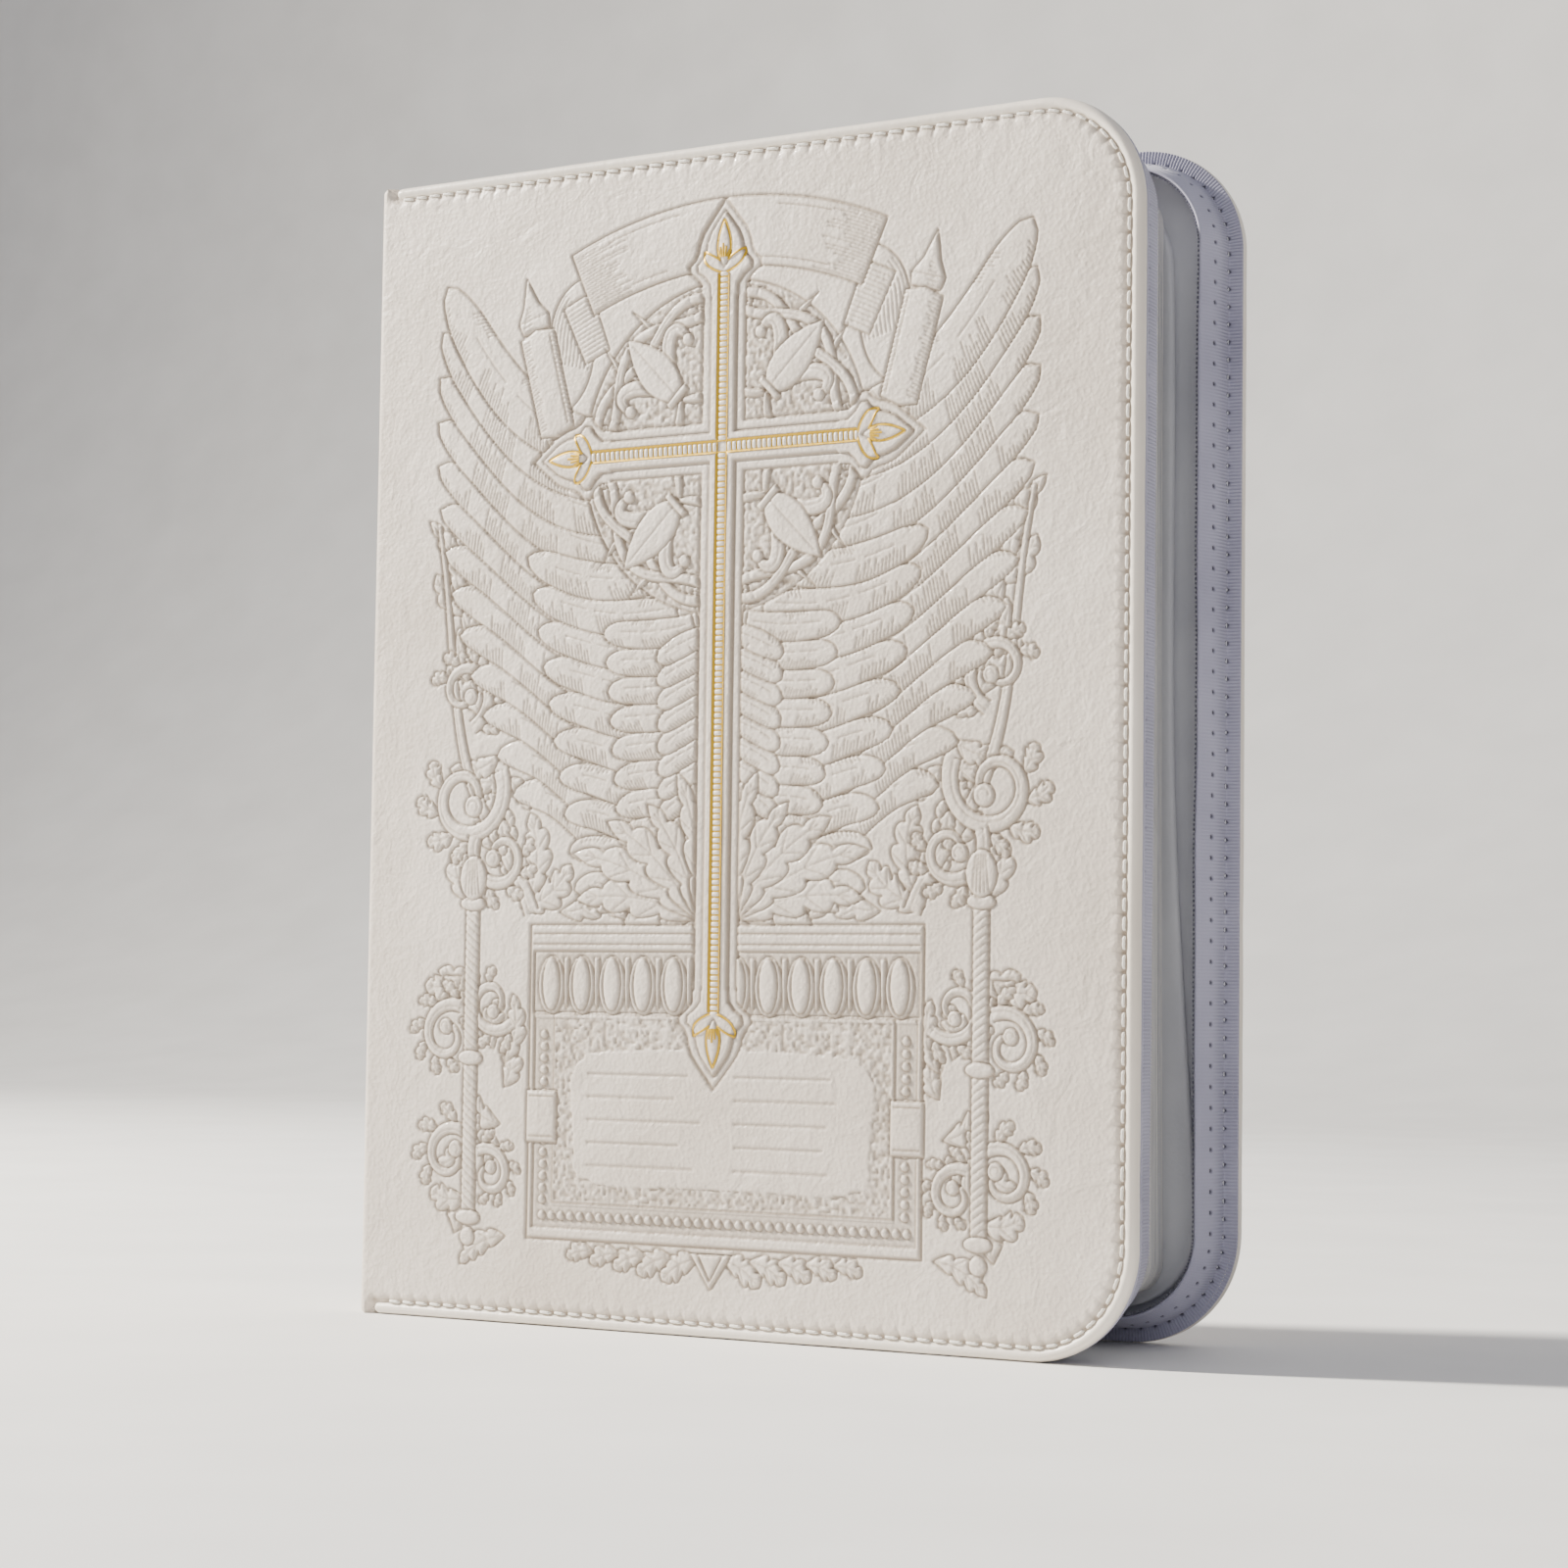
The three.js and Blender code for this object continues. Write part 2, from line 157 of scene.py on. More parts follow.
def material_index(piece, values):
    piece.data.polygons.foreach_set("material_index", np.asarray(values, dtype=np.int32))


def place_noise(a, b, cell_a, cell_b, seed):
    """Smooth values in -1..1 that depend only on the place (a, b), with the given cell sizes."""
    table = np.random.default_rng(seed).uniform(-1, 1, (64, 64))
    pa, pb = np.asarray(a, float) / cell_a + 9, np.asarray(b, float) / cell_b + 9
    ia, ib = np.floor(pa).astype(int), np.floor(pb).astype(int)
    fa, fb = pa - ia, pb - ib
    fa, fb = fa * fa * (3 - 2 * fa), fb * fb * (3 - 2 * fb)
    low = table[ia % 64, ib % 64] * (1 - fa) + table[(ia + 1) % 64, ib % 64] * fa
    high = table[ia % 64, (ib + 1) % 64] * (1 - fa) + table[(ia + 1) % 64, (ib + 1) % 64] * fa
    return low * (1 - fb) + high * fb


def smooth_noise(shape, cells, seed):
    """Smooth values in -1..1, with about the given number of waves each way."""
    out = np.random.default_rng(seed).uniform(-1, 1, (cells[0] + 3, cells[1] + 3))
    for axis in (0, 1):
        place = np.linspace(0, cells[axis], shape[axis])
        low = np.floor(place).astype(int)
        part = place - low
        ease = part * part * (3 - 2 * part)
        a, b = np.take(out, low, axis=axis), np.take(out, low + 1, axis=axis)
        out = a + (b - a) * (ease[:, None] if axis == 0 else ease)
    return out


# ---------------------------------------------------------------- materials


def shader(name, color, rough, metal=0.0, coat=0.0, sheen=0.0):
    material = bpy.data.materials.new(name)
    material.use_nodes = True
    tree = material.node_tree
    bsdf = tree.nodes["Principled BSDF"]
    bsdf.inputs["Base Color"].default_value = (*color, 1)
    bsdf.inputs["Roughness"].default_value = rough
    bsdf.inputs["Metallic"].default_value = metal
    bsdf.inputs["Coat Weight"].default_value = coat
    bsdf.inputs["Sheen Weight"].default_value = sheen
    return material, tree, bsdf


def add(tree, kind, **values):
    made = tree.nodes.new(kind)
    for key, value in values.items():
        if hasattr(made, key) and key not in made.inputs:
            setattr(made, key, value)
        else:
            made.inputs[key].default_value = value
    return made


def coordinates(tree, scale=(1, 1, 1)):
    mapping = add(tree, "ShaderNodeMapping", Scale=scale)
    tree.links.new(add(tree, "ShaderNodeTexCoord").outputs["Object"], mapping.inputs["Vector"])
    return mapping.outputs["Vector"]


def noise(tree, vector, scale, detail, **values):
    made = add(tree, "ShaderNodeTexNoise", Scale=scale, Detail=detail, **values)
    tree.links.new(vector, made.inputs["Vector"])
    return made.outputs["Fac"]


def ramp(tree, source, low, high):
    made = add(tree, "ShaderNodeValToRGB")
    for element, position, color in zip(made.color_ramp.elements, (0.3, 0.7), (low, high)):
        element.position = position
        element.color = (*color, 1)
    tree.links.new(source, made.inputs["Fac"])
    return made.outputs["Color"]


def tinted(tree, color, attribute, tint):
    """The colour, drawn towards the tint by the values of a point attribute."""
    mix = add(tree, "ShaderNodeMix", data_type="RGBA")
    share = add(tree, "ShaderNodeAttribute", attribute_name=attribute)
    tree.links.new(share.outputs["Fac"], mix.inputs["Factor"])
    first, second = (socket for socket in mix.inputs if socket.type == "RGBA")
    tree.links.new(color, first)
    second.default_value = (*tint, 1)
    return next(socket for socket in mix.outputs if socket.type == "RGBA")


def bump(tree, bsdf, sources):
    """Each source is (socket, strength, distance in metres)."""
    last = None
    for socket, strength, distance in sources:
        made = add(tree, "ShaderNodeBump", Strength=strength, Distance=distance)
        tree.links.new(socket, made.inputs["Height"])
        if last:
            tree.links.new(last, made.inputs["Normal"])
        last = made.outputs["Normal"]
    tree.links.new(last, bsdf.inputs["Normal"])


def leather(name, low, high, rough=0.5, grain=1.0, tone=None):
    material, tree, bsdf = shader(name, high, rough, coat=0.06)
    vector = coordinates(tree)
    pebble = add(tree, "ShaderNodeTexVoronoi", Scale=950.0)
    tree.links.new(vector, pebble.inputs["Vector"])
    fine = noise(tree, vector, 420.0, 6.0, Roughness=0.65)
    crease = noise(tree, vector, 120.0, 5.0, Distortion=1.6)
    color = ramp(tree, noise(tree, vector, 26.0, 4.0), low, high)
    # the point attribute draws the colour towards the given tint where shade is painted: in the design's grooves
    # and sunken grounds, and along the seam
    if tone:
        color = tinted(tree, color, "tone", tone)
    tree.links.new(color, bsdf.inputs["Base Color"])
    tree.links.new(ramp(tree, crease, (rough - 0.08,) * 3, (rough + 0.1,) * 3), bsdf.inputs["Roughness"])
    bump(tree, bsdf, [(pebble.outputs["Distance"], 0.22 * grain, 0.00025), (fine, 0.3 * grain, 0.0003),
                      (crease, 0.35 * grain, 0.0006)])
    return material


def cloth(name, low, high, rough, pitch, strength, direction=(0, 0, 1), sheen=0.1, hole=False):
    """A woven or satin surface with fine threads across one direction."""
    material, tree, bsdf = shader(name, high, rough, sheen=sheen)
    color = ramp(tree, noise(tree, coordinates(tree), 35.0, 3.0), low, high)
    # with hole set, a point attribute paints shade: near black in the needle holes and darker between the ribs
    if hole:
        color = tinted(tree, color, "hole", (0.02, 0.018, 0.03))
    tree.links.new(color, bsdf.inputs["Base Color"])
    stretched = coordinates(tree, tuple(1.0 if d else 0.25 for d in direction))
    bump(tree, bsdf, [(noise(tree, stretched, 1.0 / (pitch * MM), 2.0), strength, 0.0002)])
    return material


def gilt_edges(name):
    """Silvered page edges: fine streaks that run up the block."""
    material, tree, bsdf = shader(name, (0.5, 0.5, 0.56), 0.34, metal=0.55)
    thin = noise(tree, coordinates(tree, (1, 1, 0.02)), 2600.0, 4.0)
    wide = noise(tree, coordinates(tree, (1, 1, 0.06)), 320.0, 3.0)
    tree.links.new(ramp(tree, wide, (0.42, 0.43, 0.48), (0.70, 0.70, 0.75)), bsdf.inputs["Base Color"])
    tree.links.new(ramp(tree, thin, (0.25,) * 3, (0.5,) * 3), bsdf.inputs["Roughness"])
    bump(tree, bsdf, [(thin, 0.5, 0.0002), (wide, 0.3, 0.0005)])
    return material


def metal(name, color, rough, scratch, share=1.0):
    material, tree, bsdf = shader(name, color, rough, metal=share)
    scratches = noise(tree, coordinates(tree, (1, 4, 4)), scratch, 5.0)
    tree.links.new(ramp(tree, scratches, (rough * 0.7,) * 3, (rough * 1.5,) * 3), bsdf.inputs["Roughness"])
    bump(tree, bsdf, [(scratches, 0.15, 0.0001)])
    return material


# the front leather's tint is the colour of its painted shade, in the design's grooves and along the seam
LEATHER = leather("case_leather", (0.585, 0.515, 0.44), (0.70, 0.63, 0.555), grain=1.8, tone=(0.18, 0.12, 0.065))
PIPING = leather("piping_leather", (0.72, 0.655, 0.565), (0.82, 0.76, 0.68), rough=0.36, grain=0.6)
BOOK_SKIN = leather("book_leather", (0.62, 0.63, 0.67), (0.71, 0.72, 0.75), rough=0.4, grain=0.8)
LINING = cloth("lining_satin", (0.56, 0.57, 0.62), (0.68, 0.69, 0.73), 0.42, 0.35, 0.25, (1, 1, 0), sheen=0.3)
# the tape's point attribute paints shade near black in its needle holes and darker between its ribs
TAPE = cloth("zip_tape", (0.33, 0.325, 0.435), (0.43, 0.425, 0.54), 0.8, 0.3, 0.3, (0, 0, 1), sheen=0.2, hole=True)
COIL = cloth("zip_coil", (0.34, 0.335, 0.43), (0.43, 0.425, 0.51), 0.35, 0.6, 0.1)
THREAD = cloth("thread", (0.78, 0.75, 0.68), (0.88, 0.85, 0.78), 0.6, 0.25, 0.5)
CARD = cloth("grey_card", (0.33, 0.28, 0.2), (0.42, 0.36, 0.27), 0.9, 0.5, 0.3)
PAPER = cloth("bible_paper", (0.74, 0.73, 0.70), (0.82, 0.81, 0.78), 0.75, 0.5, 0.12, (0, 0, 1), sheen=0.0)
GILT = gilt_edges("silver_gilt_edge")
SILK = cloth("band_silk", (0.7, 0.67, 0.6), (0.9, 0.88, 0.82), 0.4, 0.5, 0.5, (0, 1, 0))
GOLD = metal("gold_foil", (0.52, 0.32, 0.012), 0.36, 600.0, share=0.4)
CHROME = metal("bright_metal", (0.75, 0.75, 0.76), 0.2, 500.0)


# ---------------------------------------------------------------- embossed design


HATCH = (0.34, 0.24, 0.5)  # width, depth and painted shade of the design's hatching strokes
FINE = (0.34, 0.22, 0.5)


def resampled(stroke, spacing):
    """The same line with even points, about the spacing apart."""
    stroke = np.asarray(stroke, float)
    place = np.concatenate([[0], np.cumsum(np.hypot(*np.diff(stroke, axis=0).T))])
    at = np.linspace(0, place[-1], max(2, int(place[-1] / spacing) + 1))
    return np.stack([np.interp(at, place, stroke[:, k]) for k in (0, 1)], axis=-1)


class Relief:
    """A height map and a map of painted shade for its grooves and sunken grounds, over the front cover, laid down
    from back to front.
    """

    def __init__(self, u0, u1, z0, z1, pitch):
        self.u0, self.z0, self.pitch = u0, z0, pitch
        self.nu = int((u1 - u0) / pitch) + 1
        self.nz = int((z1 - z0) / pitch) + 1
        self.h = np.zeros((self.nu, self.nz))
        self.tone = np.zeros((self.nu, self.nz))

    def window(self, pts, margin):
        low = ((pts.min(0) - margin - (self.u0, self.z0)) / self.pitch).astype(int)
        high = ((pts.max(0) + margin - (self.u0, self.z0)) / self.pitch).astype(int) + 2
        i0, j0 = np.clip(low, 0, (self.nu - 1, self.nz - 1))
        i1, j1 = np.clip(high, 1, (self.nu, self.nz))
        us = self.u0 + np.arange(i0, i1) * self.pitch
        zs = self.z0 + np.arange(j0, j1) * self.pitch
        uu, zz = np.meshgrid(us, zs, indexing="ij")
        return (slice(i0, i1), slice(j0, j1)), uu, zz

    def fill(self, poly, level=0.0, dome=0.0, rim=2.0, tone=None, rough=0.0):
        poly = np.asarray(poly, float)
        where, uu, zz = self.window(poly, 0.5)
        inside = np.zeros(uu.shape, bool)
        near = np.full(uu.shape, 1e9)
        for (au, az), (bu, bz) in zip(poly, np.roll(poly, -1, axis=0)):
            if az != bz:
                crosses = (az > zz) != (bz > zz)
                inside ^= crosses & (uu < (bu - au) * (zz - az) / (bz - az) + au)
            if dome:
                length = (bu - au) ** 2 + (bz - az) ** 2 + 1e-12
                t = np.clip(((uu - au) * (bu - au) + (zz - az) * (bz - az)) / length, 0, 1)
                near = np.minimum(near, (uu - au - t * (bu - au)) ** 2 + (zz - az - t * (bz - az)) ** 2)
        value = np.full(uu.shape, level)
        if dome:
            reach = np.clip(np.sqrt(near) / rim, 0, 1)
            value += dome * np.sqrt(reach * (2 - reach))
        # painted shade over the filled ground; with rough, painted darker in the grit's pits and lighter on its
        # bumps
        shade = np.full(uu.shape, tone or 0.0)
        if rough:
            grit = place_noise(uu, zz, 0.75, 0.75, 3)
            value += rough * grit
            shade *= np.clip(1.1 - 1.6 * grit, 0, 2.2)
        self.h[where][inside] = value[inside]
        self.tone[where][inside] = shade[inside]

    def lines(self, strokes, width=0.75, depth=0.34, tone=0.75):
        """Grooves along several lines at once, with shade painted into them; a negative depth raises them and
        paints no shade.
        """
        pts = np.concatenate([resampled(stroke, self.pitch * 0.7) for stroke in strokes])
        where, uu, zz = self.window(pts, width + self.pitch)
        field = np.zeros(uu.shape)
        origin = np.array([uu[0, 0], zz[0, 0]])
        reach = int(width / self.pitch) + 1
        base = np.rint((pts - origin) / self.pitch).astype(int)
        for di in range(-reach, reach + 1):
            for dj in range(-reach, reach + 1):
                cell = base + (di, dj)
                ok = (cell >= 0).all(1) & (cell < field.shape).all(1)
                cell = cell[ok]
                gap = np.hypot(*((cell * self.pitch + origin) - pts[ok]).T) / width
                np.maximum.at(field, (cell[:, 0], cell[:, 1]), np.clip(1 - gap * gap, 0, 1) ** 1.5)
        self.h[where] -= depth * field
        # painted shade along each groove, darkest at its bottom
        if depth > 0:
            self.tone[where] = np.maximum(self.tone[where], tone * field)

    def shape(self, poly, level=0.0, dome=0.2, rim=2.0, width=0.5, depth=0.36, tone=None):
        poly = np.asarray(poly, float)
        self.fill(poly, level, dome, rim, tone)
        self.lines([np.vstack([poly, poly[:1]])], width, depth)

    def at(self, u, z, field=None):
        data = self.h if field is None else field
        fu = np.clip((u - self.u0) / self.pitch, 0, self.nu - 1.001)
        fz = np.clip((z - self.z0) / self.pitch, 0, self.nz - 1.001)
        i, j = fu.astype(int), fz.astype(int)
        a, b = fu - i, fz - j
        top = data[i, j] * (1 - a) + data[i + 1, j] * a
        low = data[i, j + 1] * (1 - a) + data[i + 1, j + 1] * a
        value = top * (1 - b) + low * b
        edge = (u < self.u0) | (z < self.z0) | (u > self.u0 + (self.nu - 1) * self.pitch)
        edge |= z > self.z0 + (self.nz - 1) * self.pitch
        return np.where(edge, 0.0, value)


def bezier(points, count=24):
    """A Bezier curve with any number of control points."""
    t = np.linspace(0, 1, count)[:, None]
    curves = [np.asarray(point, float) + np.zeros((count, 1)) for point in points]
    while len(curves) > 1:
        curves = [a * (1 - t) + b * t for a, b in zip(curves, curves[1:])]
    return curves[0]


def normals(line):
    d = np.gradient(line, axis=0)
    d /= np.hypot(d[:, 0], d[:, 1])[:, None] + 1e-9
    return np.stack([-d[:, 1], d[:, 0]], axis=-1)


def tangents(n):
    return np.stack([n[:, 1], -n[:, 0]], axis=-1)


def mirrored(pts):
    pts = np.array(pts, float)
    pts[..., 0] = 2 * CROSS_U - pts[..., 0]
    return pts


HALVES = (np.asarray, mirrored)  # draws on the right of the cross, then on the left


def feather(relief, spine, width, hatch=1.0, reach=(0.22, 0.5)):
    """One feather along a centre line from root to tip, with a quill and groups of barbs."""
    line = bezier(spine, 44)
    s = np.linspace(0, 1, len(line))
    tip = np.sqrt(np.clip(1 - ((s - 0.84) / 0.16) ** 2 * (s > 0.84), 0, 1))
    half = 0.5 * width * (0.74 + 0.26 * np.sin(np.pi * s)) * tip
    n = normals(line)
    tangent = tangents(n)
    left, right = line + n * half[:, None], line - n * half[:, None]
    poly = np.vstack([left, right[::-1]])
    length = np.hypot(*np.diff(line, axis=0).T).sum()
    barbs = []
    count = max(4, int(length / hatch))
    phase = rng.uniform(0, 6)
    for k in range(1, count):
        t = k / count * (len(line) - 1)
        i = int(t)
        f = t - i
        if math.sin(k * 0.33 + phase) > -0.55:
            start = right[i] * (1 - f) + right[i + 1] * f
            long = half[i] * 2 * rng.uniform(*reach) * (0.5 if i > 36 else 1)
            barbs.append([start, start + n[i] * long + tangent[i] * long * 0.45])
        if math.sin(k * 0.27 + 2 * phase) > 0.45:
            start = left[i] * (1 - f) + left[i + 1] * f
            long = half[i] * 2 * rng.uniform(0.12, 0.26)
            barbs.append([start, start - n[i] * long + tangent[i] * long * 0.5])
    quill = line[3:36] + n[3:36] * half[3:36, None] * 0.18
    dashes = [quill[:12], quill[14:22], quill[24:]]
    for turn in HALVES:
        relief.shape(turn(poly), dome=0.16, rim=width * 0.4, width=0.5, depth=0.36)
        relief.lines(map(turn, dashes), 0.36, 0.22, 0.5)
        relief.lines(map(turn, barbs), 0.34, 0.24, 0.55)


def cubic(root, tip, root_angle, tip_angle, bend=0.42):
    """Control points of a curve that leaves root and reaches tip at the given angles."""
    root, tip = np.array(root, float), np.array(tip, float)
    reach = bend * np.hypot(*(tip - root))
    a, b = math.radians(root_angle), math.radians(tip_angle)
    return [root, root + reach * np.array([math.cos(a), math.sin(a)]),
            tip - reach * np.array([math.cos(b), math.sin(b)]), tip]


def wings(relief):
    """Rows of feathers each side, the upper ones lying over the lower."""
    for k in range(12, -1, -1):
        f = k / 12
        root = (118 - 8 * f, 203 - 96 * f)
        tip = (177 + 5 * math.sin(3.1 * f) - 22 * f * f, 244 - 132 * f + 10 * f * f)
        feather(relief, cubic(root, tip, -6 - 12 * f, 60 - 74 * f**0.8), 12.4 - 3.6 * f)
    for k in range(9, -1, -1):
        f = k / 9
        root = (110 - 3 * f, 172 - 74 * f)
        tip = (152 - 15 * f, 178 - 78 * f)
        feather(relief, cubic(root, tip, -8 - 14 * f, 26 - 46 * f), 8.8 - 1.6 * f)
    for k in range(10, -1, -1):
        f = k / 10
        root = (105, 160 - 64 * f)
        tip = (130 - 7 * f, 159 - 68 * f)
        feather(relief, cubic(root, tip, -14, 4 - 34 * f), 6.8, 0.9, (0.2, 0.4))
    for k in range(12, -1, -1):
        f = k / 12
        root = (101, 158 - 60 * f)
        tip = (115 - 2 * f, 152 - 62 * f)
        feather(relief, cubic(root, tip, -20, -28 - 20 * f), 5.6, 0.9, (0.15, 0.3))


def leaf(relief, root, tip, width, curl=0.3, lobes=3):
    """An acanthus leaf whose lobes sweep towards its tip, with a vein into each lobe."""
    root, tip = np.array(root, float), np.array(tip, float)
    along = tip - root
    size = np.hypot(*along)
    across = np.array([-along[1], along[0]]) / size
    line = bezier([root, root + along * 0.5 + across * curl * size, tip], 49)
    n = normals(line)
    tangent = tangents(n)
    s = np.linspace(0, 1, 49)
    lobe = 0.55 + 0.45 * np.abs(np.sin(np.pi * lobes * s)) ** 0.6 if lobes else np.ones(49)
    half = (0.5 * width * np.sin(np.pi * s**0.8) ** 0.8 * lobe)[:, None]
    sweep = tangent * half * (0.7 if lobes else 0)
    poly = np.vstack([line + n * half + sweep, (line - n * half + sweep)[::-1]])
    veins = [line[3:44]]
    for k in range(lobes):
        i = int(48 * (k + 0.5) / lobes)
        for sign in (1, -1):
            end = line[i] + n[i] * sign * half[i] * 0.85 + tangent[i] * half[i] * 0.6
            veins.append([line[max(0, i - 3)], end])
    for turn in HALVES:
        relief.shape(turn(poly), dome=0.26, rim=width * 0.35, width=0.5, depth=0.36)
        relief.lines(map(turn, veins), 0.34, 0.22, 0.45)


def band(relief, line, half, dome=0.3, level=0.0, vein=True):
    """A strip along a line, outlined on its two long sides only."""
    n = normals(line)
    half = np.broadcast_to(np.asarray(half, float).reshape(-1, 1) if np.ndim(half) else half, (len(line), 1))
    left, right = line + n * half, line - n * half
    relief.fill(np.vstack([left, right[::-1]]), level, dome, float(half.max()))
    relief.lines([left, right], 0.5, 0.36)
    if vein:
        relief.lines([line + n * half * 0.25], 0.34, 0.18, 0.4)


def scroll(relief, centre, radius, start, sweep, width, leaves=6):
    """A tapering spiral stem with leaves on its outer side and a bud at its heart."""
    share = np.linspace(0, 1, 90)
    theta = np.radians(start) + np.radians(sweep) * share
    r = radius * np.exp(-1.25 * share)
    line = np.stack([centre[0] + r * np.cos(theta), centre[1] + r * np.sin(theta)], axis=-1)
    n = normals(line)
    half = 0.5 * width * np.linspace(1, 0.4, 90)
    out = -np.sign(sweep)
    for k in range(leaves):
        i = int(2 + k * 9)
        root = line[i] + n[i] * out * half[i] * 0.5
        tip = root + n[i] * out * radius * 0.5 + (line[i] - line[i + 2]) * -4.5
        leaf(relief, root, tip, radius * 0.42, 0.22 * out, 3)
    for turn in HALVES:
        band(relief, turn(line), half)
        relief.shape(turn(circle(line[-1], width * 0.6)), dome=0.35, rim=width * 0.4, width=0.45)
        relief.lines([turn(circle(line[-1], width * 0.3)[:14])], 0.34, 0.2, 0.4)


def circle(centre, radius, count=20, squeeze=1.0):
    t = np.linspace(0, 2 * np.pi, count, endpoint=False)
    return np.stack([centre[0] + radius * np.cos(t), centre[1] + radius * squeeze * np.sin(t)], axis=-1)


def box(u0, u1, z0, z1):
    return np.array([(u0, z0), (u1, z0), (u1, z1), (u0, z1)], float)


def side_scrolls(relief):
    """Leafy scrollwork up both sides, from the foot of the tablet to the wing tips."""
    for k in (*range(8), *range(9, 19)):
        z = 20 + 8.6 * k
        root = (163 + 7 * math.sin(z / 11), z)
        angle = math.radians(48 + 62 * math.sin(z / 7.5))
        out = 12 + 3 * math.sin(z / 5)
        tip = (min(root[0] + out * math.cos(angle), 183), root[1] + out * math.sin(angle))
        leaf(relief, root, tip, 6.6, 0.28 * (-1) ** k, 3)
    for root, tip, width in (((152, 96), (138, 106), 8), ((150, 98), (150, 118), 8), ((141, 95), (124, 103), 7),
                             ((154, 100), (166, 116), 8), ((122, 93), (136, 98), 6), ((155, 20), (168, 13), 6),
                             ((172, 168), (181, 188), 6), ((176, 150), (168, 172), 7), ((156, 60), (154, 76), 6)):
        leaf(relief, root, tip, width, 0.25, 4)
    stem = bezier([(149, 95), (158, 118), (176, 118), (170, 150), (178, 186)], 70)
    for turn in HALVES:
        band(relief, turn(stem), np.linspace(2.2, 0.7, 70))
    for centre, radius, start, sweep, width in (
        ((170, 147), 9, 250, -400, 3.4),
        ((169, 122), 12, 150, 430, 4.4),
        ((158, 108), 9, 30, -400, 3.6),
        ((160, 74), 7.5, 220, 400, 3.0),
        ((173, 66), 8, 120, -400, 3.2),
        ((172, 38), 9, 200, -420, 3.4),
        ((160, 34), 6.5, 60, 400, 2.8),
    ):
        scroll(relief, centre, radius, start, sweep, width)


def foot_spray(relief):
    """Long leaves that spread from the foot of the cross over the tablet's top."""
    for angle, size, width in ((8, 34, 9), (24, 38, 9), (42, 34, 9), (62, 30, 8), (80, 34, 8)):
        a = math.radians(angle)
        leaf(relief, (103, 93), (103 + size * math.cos(a), 93 + size * math.sin(a)), width, 0.16, 4)


def rods(relief):
    """Twisted upright rods low at each side."""
    for turn in HALVES:
        relief.shape(turn(box(164, 168, 24, 98)), 0.1, 0.35, 2.0, 0.5)
        twist = [[(164.1, z), (167.9, z + 2.8)] for z in np.arange(25, 95, 1.9)]
        relief.lines(map(turn, twist), 0.36, 0.26, 0.5)
        for z in (24, 61, 97):
            relief.shape(turn(circle((166, z), 3.6, squeeze=0.5)), 0.15, 0.35, 1.8, 0.45)
        relief.shape(turn(circle((166, 103), 3.9, squeeze=1.35)), 0.1, 0.4, 3, 0.45)
        relief.lines([turn([(166 + k, 99), (166 + 0.6 * k, 107)]) for k in (-2, -1, 0, 1, 2)], *FINE)
        relief.shape(turn(circle((166, 19.5), 2.2)), 0.1, 0.35, 2, 0.45)


def rollers(relief):
    """The two rollers that carry the ribbon, each with a turned finial."""
    lean = math.radians(15)
    along = np.array([math.sin(lean), math.cos(lean)])
    across = np.array([math.cos(lean), -math.sin(lean)])
    base = np.array([143.5, 205.0])

    def at(a, b):
        return base + along * a + across * b

    for turn in HALVES:
        cap = [at(27, -3.8), at(30, -4.4), at(33.5, -2.2), at(40, -0.3), at(33.5, 2.2), at(30, 4.4), at(27, 3.8)]
        relief.shape(turn(cap), 0.1, 0.3, 2.4, 0.5)
        shade = [[at(27.6 + k, 3.4 - k * 0.45), at(27.9 + k, 0.6 - k * 0.1)] for k in range(6)]
        relief.lines([turn([at(30, -4.2), at(30, 4.2)]), *map(turn, shade)], 0.36, 0.22, 0.5)
        body = [at(2, -4.9), at(26, -4.9), at(27.4, 0), at(26, 4.9), at(2, 4.9), at(0.6, 0)]
        relief.shape(turn(body), 0.1, 0.35, 4.5, 0.5)
        shade = [[at(a, 4.8), at(a + 0.5, 4.8 - rng.uniform(1.6, 2.8))] for a in np.arange(3, 26, 0.9)]
        shade += [[at(a, -4.8), at(a + 0.3, -3.9)] for a in np.arange(3, 26, 1.1)]
        relief.lines(map(turn, shade), *HATCH)
        relief.lines([turn([at(3, -3.5), at(25, -3.5)])], 0.36, 0.2)
        tail = [at(0.5, -3.4), at(-3.5, -2.8), at(-5.5, 0), at(-3.5, 2.8), at(0.5, 3.4)]
        relief.shape(turn(tail), 0.1, 0.3, 2.4, 0.5)
        relief.lines([turn([at(-0.5, k), at(-4, 0.7 * k)]) for k in (-1.6, 0, 1.6)], *FINE)


def arc(radius, a, b, count=40):
    """Points on a circle about the middle of the ribbon's curve."""
    t = np.radians(np.linspace(a, b, count))
    return np.stack([CROSS_U + radius * np.cos(t), 152.0 + radius * np.sin(t)], axis=-1)


def ribbon_tails(relief):
    """The ribbon's two ends, which turn back behind its face and pass behind the rollers."""
    def across(line, half, shares):
        n = normals(line)
        return [line + n * half * share for share in shares]

    tail = bezier([(136, 236), (144, 233), (136, 219), (147, 216)], 30)
    for turn in HALVES:
        line = turn(tail)
        band(relief, line, 6.5, 0.15, -0.05, False)
        relief.lines([q[3:20] for q in across(line, 6.5, np.linspace(-0.86, 0.86, 11))], *HATCH)
        fold = np.vstack([arc(99, 64, 69, 8), arc(84, 69, 64, 8)]) + (1.5, -5.5)
        relief.shape(turn(fold), -0.05, 0.15, 4, 0.5)
        strokes = [arc(84 + 15 * f, 64.4, 68.6, 8) + (1.5, -5.5) for f in np.linspace(0.1, 0.9, 12)]
        relief.lines(map(turn, strokes), *HATCH)


